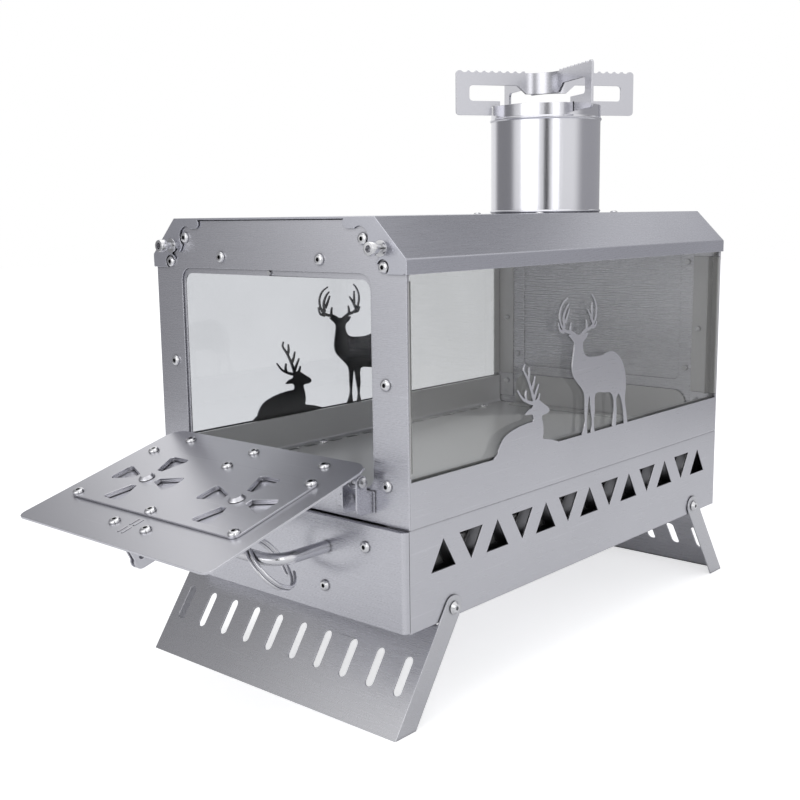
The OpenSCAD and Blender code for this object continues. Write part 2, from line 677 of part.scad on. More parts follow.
// An ear turned down over the plate, cut clear of its screws and open below for the bolt
module ear_outline() {
    r = 3.5;
    arm_z = roof_z - 2 * r;
    arm_x = roof_flat - ear_arm;
    difference() {
        polygon(concat(arc([arm_x + r, roof_z - r], r, 180, 90), [[roof_flat, roof_z], [roof_half, eave_z]],
                       arc([roof_half - r, lip_z + r], r, 0, -90, 3),
                       [[screw_x + 2, lip_z], [screw_x - 12, lip_z + 12], [arm_x + 12, arm_z]],
                       arc([arm_x + r, arm_z + r], r, 270, 180)));
        translate(head_screws[0] + [-2, 0.7]) circle(head_d / 2 + 3.2);
        translate(plate_screws[2]) circle(head_d / 2 + 1);
        slot(bolt, bolt + [-9, -9], bolt_d + 1.2);
    }
}
module roof_sheet() {
    line = concat(roof_line(0), flip(roof_line(0)),
                  reversed(flip(roof_line(sheet))), reversed(roof_line(sheet)));
    color("silver") placed() {
        difference() {
            along_y([roof_front, -roof_front]) polygon(line);
            translate([0, flue_back, roof_z - sheet - 1]) cylinder(h = sheet + 2, d = flue_d + 0.4);
            for (a = [30:90:300]) translate([0, flue_back, 0]) rotate([0, 0, a])
                translate([rivet_ring, 0, roof_z - sheet - 1]) cylinder(h = sheet + 2, d = 3.2);
        }
        both_ends() both_sides() along_y([roof_front, roof_front + sheet]) ear_outline();
    }
}
module flue_collar() {
    low = roof_z - 2 * sheet;
    bead_z = [roof_z + bead_r + 0.2, collar_top - collar_lip];
    color("gainsboro") placed() translate([0, flue_back, 0]) difference() {
        union() {
            translate([0, 0, low]) cylinder(h = sheet, r = flue_d / 2 + collar_flange);
            translate([0, 0, low]) cylinder(h = collar_top - low, d = flue_d);
            for (z = bead_z) rotate_extrude() translate([flue_d / 2 - 0.3, z]) circle(bead_r);
        }
        translate([0, 0, low - 1]) cylinder(h = collar_top - low + 2, r = collar_in);
        // the beads are rolled from the sheet, so each leaves a groove inside
        for (z = bead_z) rotate_extrude() translate([collar_in, z]) circle(bead_r - 0.3);
        for (a = [30:90:300]) rotate([0, 0, a])
            translate([rivet_ring, 0, low - 1]) cylinder(h = sheet + 2, d = 3.2);
    }
}
module collar_rivets() {
    low = roof_z - 2 * sheet;
    color("white") placed() translate([0, flue_back, 0]) for (a = [30:90:300]) rotate([0, 0, a])
        translate([rivet_ring, 0, 0]) {
            translate([0, 0, low - 1]) cylinder(h = 1, d = 5.6);
            translate([0, 0, low - eps]) cylinder(h = 2 * sheet + 2 * eps, d = 3);
            translate([0, 0, roof_z]) cylinder(h = 1.4, d1 = 6.2, d2 = 4);
        }
}

// ---- Pot stand: two bent plates back to back, notched over the collar's rim ----
stand_top = collar_top - stand_notch + stand_h + play;
// shift of a plate's two arms from lines through the flue's axis
stand_set = (stand_t / 2 + play / 2 - stand_bend * (sqrt(2) - 1)) / sqrt(2);
// a sheet's side turned round the bend, seen from above, and all that lies beyond it
module round_the_bend(side, far) {
    bend = stand_set + stand_bend;
    translate([bend, side]) square([far - bend, far - side]);
    translate([side, bend]) square([far - side, far - bend]);
    translate([bend, bend]) circle(bend - side);
}
module arm_cuts() {
    r0 = stand_set + stand_bend;
    r1 = stand_reach;
    z0 = stand_top - stand_h;
    notch_top = collar_top + play;
    rim_in = sqrt(pow(collar_in, 2) - pow(stand_t / 2 - stand_set, 2)) - 0.5;
    hook = rim_in - 4.5;
    // round the arm's outer corners
    difference() {
        translate([r1 - 4, z0 - 1]) square([5, stand_h + 2]);
        polygon(round_box([r0, r1], [z0, stand_top], 3));
    }
    // the window, open at its inner end, and the space over the flue
    polygon(concat(arc([r1 - stand_bar - 3, z0 + stand_bar + 3], 3, 270, 360),
                   arc([r1 - stand_bar - 3, stand_top - stand_bar - 3], 3, 0, 90),
                   [[r0 + 7, stand_top - stand_bar], [r0 - 1, stand_top - stand_neck],
                    [r0 - 1, z0 - 1], [hook, z0 - 1], [hook, z0 + stand_bar]]));
    // the notch over the rim
    polygon([[rim_in, z0 - 1], [rim_in, notch_top], [flue_d / 2 + 0.6, notch_top],
             [flue_d / 2 + 0.6, z0 - 1]]);
    for (k = [0:floor((r1 - r0 - 5) / tooth_pitch - 0.5)])
        translate([r1 - 4 - (k + 0.5) * tooth_pitch, stand_top + tooth_pitch * 0.28])
            circle(tooth_pitch * 0.5);
}
module pot_plate() {
    outside = stand_set - stand_t / 2;
    bend = stand_set + stand_bend;
    difference() {
        translate([0, 0, stand_top - stand_h]) linear_extrude(stand_h) difference() {
            round_the_bend(outside, stand_reach);
            round_the_bend(outside + stand_t, stand_reach + 1);
        }
        translate([0, outside + stand_t + 1, 0]) rotate([90, 0, 0])
            linear_extrude(stand_t + 2) arm_cuts();
        translate([outside - 1, 0, 0]) rotate([90, 0, 90]) linear_extrude(stand_t + 2) arm_cuts();
        // under and over the bend
        translate([0, 0, stand_top - stand_h - 1]) linear_extrude(stand_h + 1 - stand_neck)
            translate([outside - 1, outside - 1]) square(stand_bend + stand_t / 2 + 1);
        translate([outside - 1, outside - 1, stand_top - 1.2])
            cube([stand_bend + stand_t / 2 + 1, stand_bend + stand_t / 2 + 1, 2]);
    }
}
module pot_stand_front() {
    color("silver") placed() translate([0, flue_back, 0]) rotate([0, 0, stand_turn + 180]) pot_plate();
}
module pot_stand_rear() {
    color("silver") placed() translate([0, flue_back, 0]) rotate([0, 0, stand_turn]) pot_plate();
}

// ---- Door, drawn closed and then swung open about its pins ----
module opened() {
    placed() translate([0, hinge_y, hinge_z]) rotate([door_angle, 0, 0])
        translate([0, -hinge_y, -hinge_z]) children();
}
module petals(turn = 0) {
    r0 = fan_r * 0.36;
    for (a = [0:90:270]) rotate(a + turn)
        polygon([[r0, -2.4], [fan_r - 3, -8.6], [fan_r - 1, -8], [fan_r, -6],
                 [fan_r, 6], [fan_r - 1, 8], [fan_r - 3, 8.6], [r0, 2.4]]);
}
axle_d = 5;
baffle_screw_x = door_baffle_w / 2 - 4;
baffle_screws_z = [baffle_z + 4, baffle_z + door_baffle_h - 4];
strip_screw_x = mouth - 23;
latch_x = 15.3;                          // screws of the handle's feet
fin_x = [1.4, 1.4 + sheet];              // faces of a handle fin
tongue_h = 6.6;
tongue_z = [latch_z - 7.8, latch_z + 1.2];
module door_bores(y, slotted) {
    both_sides() {
        for (x = [0, baffle_screw_x], z = baffle_screws_z) round_y(x, z, y, hole_d);
        round_y(fan_x, fan_z, y, axle_d + 2 * fit);
        if (slotted) {
            round_y(strip_screw_x, strip_screw_z, y, hole_d);
            round_y(latch_x, latch_z, y, hole_d);
        }
    }
    if (slotted) round_y(0, strip_screw_z, y, hole_d);
}
module fan_holes() { both_sides() translate([fan_x, fan_z]) petals(); }
module door_plate() {
    y = [door_y - door_t, door_y];
    top = door_low + door_h;
    w = door_w / 2;
    low_r = 12;
    color("gainsboro") opened() difference() {
        along_y(y) difference() {
            polygon(concat(arc([w - 6, top - 6], 6, 0, 90), arc([6 - w, top - 6], 6, 90, 180),
                           arc([low_r - w, door_low + low_r], low_r, 180, 270),
                           arc([w - low_r, door_low + low_r], low_r, 270, 360)));
            fan_holes();
            both_sides() for (z = tongue_z)
                translate([fin_x[0] - 0.2, z - 0.2]) square([fin_x[1] - fin_x[0] + 0.4, tongue_h + 0.4]);
        }
        door_bores([y[0] - 1, y[1] + 1], true);
    }
}
// Second plate on the inside of the door, with the same air openings
module door_baffle() {
    w = door_baffle_w / 2;
    color("gainsboro") opened() difference() {
        along_y([door_y, door_y + baffle_d]) difference() {
            polygon(round_box([-w, w], [baffle_z, baffle_z + door_baffle_h], 5));
            fan_holes();
        }
        door_bores([door_y - 1, door_y + baffle_d + 1], false);
    }
}
// Strip on the outside of the door with the two hinge ears
module door_hinge_strip() {
    y = door_y - door_t;
    reach = y - sheet - hinge_y;
    color("gainsboro") opened() {
        difference() {
            block([-door_w / 2 + 4, door_w / 2 - 4], [y - sheet, y], [strip_z, strip_z + strip_h]);
            both_sides() round_y(strip_screw_x, strip_screw_z, [y - sheet - 1, y + 1], hole_d);
            round_y(0, strip_screw_z, [y - sheet - 1, y + 1], hole_d);
        }
        both_sides() along_x([door_ear_x, door_ear_x + sheet]) difference() {
            union() {
                translate([hinge_y, hinge_z]) circle(ear_r);
                translate([hinge_y, strip_z]) square([reach + eps, hinge_z - strip_z + 8]);
            }
            translate([hinge_y, hinge_z]) circle(d = pin_d + 2 * fit);
            translate([hinge_y - 1, hinge_z + ear_r]) rotate(-45) translate([-12, 0]) square([12, 12]);
        }
    }
}
module door_screws() {
    thick = door_t + sheet;
    color("white") opened() {
        both_sides() {
            for (z = baffle_screws_z)
                facing_rear(baffle_screw_x, door_y + baffle_d, z) button_screw(baffle_d + door_t);
            facing_rear(strip_screw_x, door_y, strip_screw_z) button_screw(thick);
            facing_rear(latch_x, door_y, latch_z) button_screw(thick);
        }
        for (z = baffle_screws_z) facing_rear(0, door_y + baffle_d, z) button_screw(baffle_d + door_t);
        facing_rear(0, door_y, strip_screw_z) button_screw(thick);
    }
}
// One of the two bent plates that make the handle: a foot on the door, a fin and two tongues through it
module door_fin() {
    y = door_y - door_t;
    low = latch_z - 26;
    top = latch_z + 9;
    difference() {
        union() {
            block([fin_x[0], latch_x + 6], [y - sheet, y], [latch_z - 9, latch_z + 9]);
            along_x(fin_x) polygon(concat([[y, latch_z - 9], [y, top]],
                                          arc([y - fin_depth + 5, top - 8], 5, 60, 180),
                                          arc([y - fin_depth + 5, top - 16], 5, 180, 240),
                                          [[y - sheet, low]]));
            for (z = tongue_z) block(fin_x, [y - eps, door_y + 0.4], [z, z + tongue_h]);
        }
        round_y(latch_x, latch_z, [y - sheet - 1, y + 1], hole_d);
        round_x(y - fin_depth + 8, top - 9, [fin_x[0] - 1, fin_x[1] + 1], 4);
    }
}
module door_handle_left() { color("gainsboro") opened() right_or_left(false) door_fin(); }
module door_handle_right() { color("gainsboro") opened() right_or_left(true) door_fin(); }

// Air disc on the outside of the door, on an axle with a domed head inside
module air_disc() {
    color("gainsboro") opened() translate([fan_x, 0, fan_z]) {
        difference() {
            along_y([disc_y, disc_y + disc_t]) difference() { circle(fan_r + 1.5); petals(45); }
            round_y(0, 0, [disc_y - 1, disc_y + 2], axle_d - 1);
        }
        round_y(0, 0, [disc_y - knob_grip, door_y + baffle_d + play + eps], axle_d);
        facing_rear(0, door_y + baffle_d + play, 0) cylinder(h = 2, d1 = 11, d2 = 7);
    }
}
module air_disc_right() { air_disc(); }
module air_disc_left() { mirror([1, 0, 0]) air_disc(); }
// Finger knob on the outer end of the axle
module air_knob() {
    color("silver") opened() translate([fan_x, 0, fan_z]) difference() {
        round_y(0, 0, [disc_y - knob_h, disc_y], 2 * knob_r);
        round_y(0, 0, [disc_y - knob_grip, disc_y + 1], axle_d);
        for (a = [0:45:315])
            round_y(knob_r * cos(a) * 1.15, knob_r * sin(a) * 1.15, [disc_y - knob_h - 1, disc_y + 1], 3);
    }
}
module air_knob_right() { air_knob(); }
module air_knob_left() { mirror([1, 0, 0]) air_knob(); }

// ---- Ash drawer ----
module drawer_holes(y) {
    both_sides() {
        for (s = drawer_screws_at) round_y(s[0], s[1], y, hole_d);
        round_y(handle_w / 2, handle_z, y, stud_d + 0.2);
    }
}
stud_d = 5;
module drawer_front() {
    z = [panel_low, panel_top];
    y = [panel_y, front - play];
    r = 2.5;
    color("silver") placed() difference() {
        translate([0, 0, z[0]]) linear_extrude(z[1] - z[0])
            polygon(concat([[half, y[1]], [-half, y[1]]], arc([r - half, y[0] + r], r, 180, 270, 4),
                           arc([half - r, y[0] + r], r, 270, 360, 4)));
        block([sheet - half, half - sheet], [y[0] + sheet, y[1] + 1], [z[0] + sheet, z[1] - sheet]);
        drawer_holes([y[0] - 1, y[0] + sheet + 1]);
    }
}
module drawer_tray() {
    y = [panel_y + sheet, tray_y1];
    z = [tray_z, tray_z + tray_h];
    color("silver") placed() difference() {
        block([-tray_x, tray_x], y, z);
        block([sheet - tray_x, tray_x - sheet], [y[0] + sheet, y[1] - sheet], [z[0] + sheet, z[1] + 1]);
        // clear of the panel's folded lower edge
        block([-tray_x - 1, tray_x + 1], [y[0] - 1, front - play + 0.3], [0, panel_low + sheet + play]);
        drawer_holes([y[0] - 1, y[0] + sheet + 1]);
    }
}
module drawer_handle() {
    r = rod_d / 2;
    straight = handle_w / 2 - handle_bend;
    color("gainsboro") placed() both_sides() {
        facing_front(handle_w / 2, panel_y, handle_z) cylinder(h = handle_reach - handle_bend, r = r);
        facing_front(handle_w / 2, panel_y + 2 * sheet + 4, handle_z)
            cylinder(h = 2 * sheet + 4 + eps, d = stud_d);
        translate([straight, bar_y + handle_bend, handle_z]) rotate([0, 0, -90])
            rotate_extrude(angle = 90) translate([handle_bend, 0]) circle(r);
        facing_right(-eps, bar_y, handle_z) cylinder(h = straight + eps, r = r);
    }
}
module handle_nuts() {
    y = panel_y + 2 * sheet;
    color("white") placed() both_sides() difference() {
        facing_rear(handle_w / 2, y, handle_z) cylinder(h = 3, d = stud_d * 1.8, $fn = 6);
        round_y(handle_w / 2, handle_z, [y - 1, y + 4], stud_d + 0.2);
    }
}
module drawer_screws() {
    color("white") placed() both_sides() for (s = drawer_screws_at)
        facing_front(s[0], panel_y, s[1]) button_screw(2 * sheet + 2);
}

// The pull ring: one wire wound into turns that lie side by side, hung on the handle's bar
ring_steps = 24;
ring_down = [0, sin(ring_back), -cos(ring_back)];
ring_side = cos(ring_yaw) * cross([1, 0, 0], ring_down) + sin(ring_yaw) * [1, 0, 0];
ring_axis = cross(ring_down, ring_side);
ring_mid = [ring_x, bar_y, handle_z] + ring_hang * ring_down;
function ring_out(a) = cos(a) * ring_down + sin(a) * ring_side;
function ring_path(a) = ring_mid + ring_r * ring_out(a) + ring_axis * ring_pitch * (a / 360 - ring_turns / 2);
ring_points = [for (i = [0:ring_turns * ring_steps], j = [0:5]) let (a = i * 360 / ring_steps)
    ring_path(a) + wire_d / 2 * (cos(60 * j) * ring_out(a) + sin(60 * j) * ring_axis)];
ring_last = ring_turns * ring_steps * 6;
ring_faces = concat([[for (j = [0:5]) j]], [[for (j = [5:-1:0]) ring_last + j]],
    [for (i = [0:ring_turns * ring_steps - 1], j = [0:5]) [6 * i + j, 6 * i + 6 + j, 6 * i + (j + 1) % 6]],
    [for (i = [0:ring_turns * ring_steps - 1], j = [0:5])
        [6 * i + (j + 1) % 6, 6 * i + 6 + j, 6 * i + 6 + (j + 1) % 6]]);
ring_gap = min([for (i = [0:5:len(ring_points) - 1], k = [i + 6 * ring_steps / 2:len(ring_points) - 1])
    norm(ring_points[i] - ring_points[k])]);
echo("least gap from the pull ring's wire to itself", ring_gap);
module pull_ring() { color("gainsboro") placed() polyhedron(ring_points, ring_faces); }

// ---- Legs: a slotted cross plate between two side flanges, drawn upright and leaned out ----
leg_slots = 2 * floor((body_w / 2 - 8) / leg_slot_pitch - 0.5) + 2;
module leg() {
    w = leg_w / 2;
    far = foot_run + 20;
    difference() {
        translate([0, -pivot_y, pivot_z]) rotate([-leg_lean, 0, 0]) {
            both_sides() along_x([leg_x, leg_x + sheet]) difference() {
                union() {
                    circle(w);
                    translate([-w, -far]) square([2 * w, far]);
                }
                circle(d = pivot_d + 2 * fit);
            }
            along_y([-w, sheet - w]) difference() {
                translate([-leg_x - eps, -far]) square([2 * (leg_x + eps), far - leg_top]);
                for (k = [0:leg_slots - 1]) let (x = (k - (leg_slots - 1) / 2) * leg_slot_pitch)
                    slot([x, -leg_top - 27], [x, -leg_top - 27 - leg_slot_len + leg_slot_w], leg_slot_w);
            }
        }
        block([-body_w, body_w], [-body_len, body_len], [-3 * leg_h, -leg_h]);
    }
}
module front_leg() { color("silver") placed() leg(); }
module rear_leg() { color("silver") placed() mirror([0, 1, 0]) leg(); }
module leg_pivots() {
    seat = leg_x + sheet + play;
    color("white") placed() both_sides() for (y = [-pivot_y, pivot_y]) {
        facing_right(seat, y, pivot_z) button_screw(seat - inner + 4, 8.4, pivot_d);
        difference() {
            facing_right(inner - 3, y, pivot_z) cylinder(h = 3, d = 9, $fn = 6);
            round_x(y, pivot_z, [inner - 4, inner + 1], pivot_d + 0.2);
        }
    }
}

base_pan();
base_rear_panel();
vent_liner_left();
vent_liner_right();
bed_plate();
fire_plate();
bed_screws();
rear_baffle();
side_rail_left();
side_rail_right();
glass_left();
glass_right();
top_rail_left();
top_rail_right();
front_frame();
seal_frame();
rear_frame();
rear_panel();
corner_posts_front();
corner_posts_rear();
frame_screws_front();
frame_screws_rear();
roof_bolts_front();
roof_bolts_rear();
door_catch();
hinge_bracket_left();
hinge_bracket_right();
hinge_bracket_screws();
hinge_pins();
leg_pivots();
roof_sheet();
flue_collar();
collar_rivets();
pot_stand_front();
pot_stand_rear();
door_plate();
door_baffle();
door_hinge_strip();
door_screws();
door_handle_left();
door_handle_right();
air_disc_left();
air_disc_right();
air_knob_left();
air_knob_right();
drawer_front();
drawer_tray();
drawer_handle();
drawer_screws();
handle_nuts();
pull_ring();
front_leg();
rear_leg();
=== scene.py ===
"""Looks of the tent wood stove: softened sheet edges, turned screws, brushed steel and tinted glass."""

import json
import math

import bmesh
import bpy
import numpy as np
from mathutils import Matrix, Vector


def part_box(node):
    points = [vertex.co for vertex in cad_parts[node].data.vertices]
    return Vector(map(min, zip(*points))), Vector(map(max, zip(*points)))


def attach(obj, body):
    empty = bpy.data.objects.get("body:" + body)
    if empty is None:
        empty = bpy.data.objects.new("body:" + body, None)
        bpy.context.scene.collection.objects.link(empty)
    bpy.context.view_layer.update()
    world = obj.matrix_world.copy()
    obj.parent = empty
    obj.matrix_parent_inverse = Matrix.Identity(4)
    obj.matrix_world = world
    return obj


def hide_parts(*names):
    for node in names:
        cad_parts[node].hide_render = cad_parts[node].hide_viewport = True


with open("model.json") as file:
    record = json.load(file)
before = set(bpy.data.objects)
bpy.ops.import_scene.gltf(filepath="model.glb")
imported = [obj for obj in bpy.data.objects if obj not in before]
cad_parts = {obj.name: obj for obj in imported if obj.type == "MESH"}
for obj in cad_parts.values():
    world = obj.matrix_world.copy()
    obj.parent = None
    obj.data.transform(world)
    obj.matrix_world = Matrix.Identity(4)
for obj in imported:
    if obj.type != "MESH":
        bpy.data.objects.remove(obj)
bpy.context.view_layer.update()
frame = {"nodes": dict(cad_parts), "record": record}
nodes = frame["nodes"]
body_of = {n: b for b, members in frame["record"]["behaviour"]["bodies"].items() for n in members}
mm = 0.001


# ---- Shared surface effects ----

def effect_group(name, inputs, outputs):
    group = bpy.data.node_groups.new(name, "ShaderNodeTree")
    for label, value in inputs:
        kind = "NodeSocketVector" if isinstance(value, tuple) else "NodeSocketFloat"
        socket = group.interface.new_socket(label, in_out="INPUT", socket_type=kind)
        socket.default_value = value
    for label, kind in outputs:
        group.interface.new_socket(label, in_out="OUTPUT", socket_type=kind)
    return group, group.nodes.new("NodeGroupInput"), group.nodes.new("NodeGroupOutput")


def linked(tree, kind, settings=None, **sources):
    """A node with its sockets filled: each source is a value or another node's socket."""
    made = tree.nodes.new(kind)
    for name, value in (settings or {}).items():
        setattr(made, name, value)
    for name, value in sources.items():
        socket = made.inputs[int(name[1:])] if name[0] == "i" and name[1:].isdigit() else made.inputs[name]
        if isinstance(value, bpy.types.NodeSocket):
            tree.links.new(value, socket)
        else:
            socket.default_value = value
    return made


def scaled(tree, value, low, high):
    """Maps a value from 0 to 1 onto low to high."""
    return linked(tree, "ShaderNodeMapRange", i0=value, i3=low, i4=high).outputs[0]


def brushing_effect():
    """Fine parallel grain, slow clouding and a few long scratches, from the object's own coordinates."""
    tree, given, out = effect_group(
        "brushing", [("Grain scale", (60.0, 2600.0, 2600.0)), ("Cloud size", 9.0)],
        [("Grain", "NodeSocketFloat"), ("Cloud", "NodeSocketFloat"), ("Scratch", "NodeSocketFloat")])
    place = tree.nodes.new("ShaderNodeTexCoord").outputs["Object"]
    stretched = linked(tree, "ShaderNodeVectorMath", {"operation": "MULTIPLY"},
                       i0=place, i1=given.outputs[0])
    fine = linked(tree, "ShaderNodeTexNoise", i0=stretched.outputs[0],
                  Scale=1.0, Detail=4.0, Roughness=0.65)
    cloud = linked(tree, "ShaderNodeTexNoise", i0=place, Scale=given.outputs[1], Detail=3.0, Roughness=0.5)
    slow = linked(tree, "ShaderNodeVectorMath", {"operation": "SCALE"}, i0=stretched.outputs[0], Scale=0.22)
    lines = linked(tree, "ShaderNodeTexNoise", i0=slow.outputs[0], Scale=1.0, Detail=1.0)
    scratch = linked(tree, "ShaderNodeMapRange", i0=lines.outputs[0], i1=0.70, i2=0.78, i3=0.0, i4=1.0)
    tree.links.new(fine.outputs[0], out.inputs[0])
    tree.links.new(cloud.outputs[0], out.inputs[1])
    tree.links.new(scratch.outputs[0], out.inputs[2])
    return tree


def edge_effect():
    """One along an outer edge, nothing on the flats: the edge is polished smoother and painted lighter as a
    painted highlight.
    """
    tree, given, out = effect_group(
        "polished_edges", [("Width", 0.0007), ("Breakup", 140.0)], [("Edge", "NodeSocketFloat")])
    rounded = linked(tree, "ShaderNodeBevel", {"samples": 4}, Radius=given.outputs[0])
    true = tree.nodes.new("ShaderNodeNewGeometry")
    alike = linked(tree, "ShaderNodeVectorMath", {"operation": "DOT_PRODUCT"},
                   i0=rounded.outputs[0], i1=true.outputs["Normal"])
    mask = linked(tree, "ShaderNodeMapRange", i0=alike.outputs["Value"], i1=0.995, i2=0.86, i3=0.0, i4=1.0)
    place = tree.nodes.new("ShaderNodeTexCoord").outputs["Object"]
    worn = linked(tree, "ShaderNodeTexNoise", i0=place, Scale=given.outputs[1], Detail=2.0)
    share = linked(tree, "ShaderNodeMapRange", i0=worn.outputs[0], i1=0.35, i2=0.6, i3=0.45, i4=1.0)
    edge = linked(tree, "ShaderNodeMath", {"operation": "MULTIPLY"},
                  i0=mask.outputs[0], i1=share.outputs[0])
    tree.links.new(edge.outputs[0], out.inputs[0])
    return tree


def crevice_effect():
    """Painted shade: zero where sheets and screws meet, one in the open."""
    tree, given, out = effect_group("shaded_crevices", [("Reach", 0.0025)], [("Open", "NodeSocketFloat")])
    near_by = linked(tree, "ShaderNodeAmbientOcclusion", {"samples": 6}, Distance=given.outputs[0])
    share = linked(tree, "ShaderNodeMapRange", i0=near_by.outputs["AO"], i1=0.25, i2=0.9, i3=0.0, i4=1.0)
    tree.links.new(share.outputs[0], out.inputs[0])
    return tree


brushing = brushing_effect()
polished_edges = edge_effect()
shaded_crevices = crevice_effect()


cloud_tones = (0.93, 1.05)     # shares of the sheet's tone in its darkest and lightest clouds
scratch_tone = 1.18
scratch_strength = 0.35
# Painted highlight: outer edges are lightened in colour by this share and this strength.
edge_highlight_tone = 1.3
edge_highlight_strength = 0.8
edge_roughness = 0.6           # share of the sheet's roughness left on a polished edge
roughness_spread = 0.06
grain_height = 0.0004


def lightened(tone, share):
    return [min(1.0, c * share) for c in tone] + [1.0]


def steel(name, tone, rough, grain, grain_depth=0.035, crevice_shade=0.45, dull=0.0):
    """Stainless sheet: tone and roughness shift with the clouding, the grain runs along one axis.

    crevice_shade is the share of its tone that the sheet keeps in a crevice, as painted shade.
    dull is the share of the sheet that has no mirror shine.
    """
    material = bpy.data.materials.new(name)
    material.use_nodes = True
    tree = material.node_tree
    tree.nodes.clear()
    brushed = linked(tree, "ShaderNodeGroup", {"node_tree": brushing})
    brushed.inputs[0].default_value = grain
    edge = linked(tree, "ShaderNodeGroup", {"node_tree": polished_edges}).outputs[0]
    clouded = linked(tree, "ShaderNodeMix", {"data_type": "RGBA"}, i0=brushed.outputs["Cloud"],
                     i6=lightened(tone, cloud_tones[0]), i7=lightened(tone, cloud_tones[1]))
    scratched = scaled(tree, brushed.outputs["Scratch"], 0.0, scratch_strength)
    scored = linked(tree, "ShaderNodeMix", {"data_type": "RGBA"}, i0=scratched,
                    i6=clouded.outputs[2], i7=lightened(tone, scratch_tone))
    # Painted highlight: outer edges are painted lighter.
    highlit_edge = linked(tree, "ShaderNodeMix", {"data_type": "RGBA"}, i0=scaled(tree, edge, 0.0, edge_highlight_strength),
                    i6=scored.outputs[2], i7=lightened(tone, edge_highlight_tone))
    # Painted shade: the colour darkens in crevices and where sheets and screws meet.
    open_air = linked(tree, "ShaderNodeGroup", {"node_tree": shaded_crevices}).outputs[0]
    colour = linked(tree, "ShaderNodeMix", {"data_type": "RGBA"}, i0=open_air,
                    i6=lightened(tone, crevice_shade), i7=highlit_edge.outputs[2])
    uneven = scaled(tree, brushed.outputs["Grain"], rough - roughness_spread, rough + roughness_spread)
    smooth = linked(tree, "ShaderNodeMix", {"data_type": "FLOAT"}, i0=edge, i2=uneven,
                    i3=rough * edge_roughness)
    bump = linked(tree, "ShaderNodeBump", Height=brushed.outputs["Grain"], Strength=grain_depth,
                  Distance=grain_height)
    shader = linked(tree, "ShaderNodeBsdfPrincipled", Metallic=1.0 - dull, Roughness=smooth.outputs[0],
                    Normal=bump.outputs[0])
    tree.links.new(colour.outputs[2], shader.inputs["Base Color"])
    output = tree.nodes.new("ShaderNodeOutputMaterial")
    tree.links.new(shader.outputs[0], output.inputs[0])
    return material


glass_index = 1.72
haze_spread = 0.03


def window_glass(name, tint):
    """Heat-proof glass: tint is what one face lets through, and a light haze clouds over its surface."""
    material = bpy.data.materials.new(name)
    material.use_nodes = True
    tree = material.node_tree
    tree.nodes.clear()
    place = tree.nodes.new("ShaderNodeTexCoord").outputs["Object"]
    haze = linked(tree, "ShaderNodeTexNoise", i0=place, Scale=14.0, Detail=3.0)
    hazy = linked(tree, "ShaderNodeMix", {"data_type": "RGBA"}, i0=haze.outputs[0],
                  i6=lightened(tint, 1 - haze_spread), i7=lightened(tint, 1 + haze_spread))
    ripple = linked(tree, "ShaderNodeBump", Height=haze.outputs[0], Strength=0.03, Distance=0.002)
    clear = linked(tree, "ShaderNodeBsdfTransparent", i0=hazy.outputs[2])
    shine = linked(tree, "ShaderNodeBsdfGlossy", Roughness=0.03, Normal=ripple.outputs[0])
    shine.inputs["Color"].default_value = [0.95, 0.95, 0.94, 1.0]
    facing = linked(tree, "ShaderNodeFresnel", IOR=glass_index, Normal=ripple.outputs[0])
    leaving = linked(tree, "ShaderNodeFresnel", IOR=1 / glass_index, Normal=ripple.outputs[0])
    behind = tree.nodes.new("ShaderNodeNewGeometry").outputs["Backfacing"]
    outer = linked(tree, "ShaderNodeMix", {"data_type": "FLOAT"}, i0=behind, i2=facing.outputs[0],
                   i3=leaving.outputs[0])
    both = linked(tree, "ShaderNodeMixShader", i0=outer.outputs[0],
                  i1=clear.outputs[0], i2=shine.outputs[0])
    output = tree.nodes.new("ShaderNodeOutputMaterial")
    tree.links.new(both.outputs[0], output.inputs[0])
    return material


grain_x = (50.0, 2400.0, 2400.0)
grain_y = (2400.0, 50.0, 2400.0)
grain_z = (2400.0, 2400.0, 50.0)
no_grain = (600.0, 600.0, 600.0)
cut_grain = (900.0, 900.0, 900.0)
side_sheet = steel("brushed_side_sheet", (0.61, 0.61, 0.65), 0.29, grain_y, crevice_shade=0.12)
end_plate = steel("brushed_end_plate", (0.61, 0.61, 0.655), 0.27, grain_x, crevice_shade=0.2)
roof_steel = steel("brushed_roof_sheet", (0.58, 0.585, 0.64), 0.28, grain_y)
door_steel = steel("satin_door_plate", (0.64, 0.64, 0.68), 0.31, grain_x)
bed_steel = steel("fire_bed_sheet", (0.66, 0.665, 0.67), 0.30, grain_y, dull=0.2)
# Painted shade: the inner sheets and the vent walls are darker copies of the steel, for the shade they
# stand in.
shade_painted_inside = steel("shaded_inner_sheet", (0.50, 0.50, 0.505), 0.40, grain_y, dull=0.25)
shade_painted_vent = steel("shaded_vent_wall", (0.20, 0.20, 0.21), 0.35, grain_y)
collar_steel = steel("turned_collar", (0.66, 0.66, 0.70), 0.17, grain_z)
stand_steel = steel("cut_pot_stand", (0.58, 0.58, 0.62), 0.28, grain_x)
leg_steel = steel("brushed_leg_sheet", (0.60, 0.60, 0.63), 0.28, grain_x)
screw_steel = steel("polished_screw", (0.72, 0.72, 0.74), 0.16, no_grain, 0.03)
# Painted shade: screw sockets are coloured near black for the shade in their recess.
socket_shade_steel = steel("blackened_socket", (0.07, 0.07, 0.075), 0.45, no_grain, 0.03)
rod_steel = steel("polished_rod", (0.70, 0.70, 0.73), 0.20, grain_x, 0.03)
cut_edge_steel = steel("bright_cut_edge", (0.70, 0.70, 0.72), 0.30, cut_grain, 0.05)
smoked_pane = window_glass("smoked_glass_pane", (0.755, 0.762, 0.775))
clear_pane = window_glass("clear_glass_pane", (0.972, 0.972, 0.96))

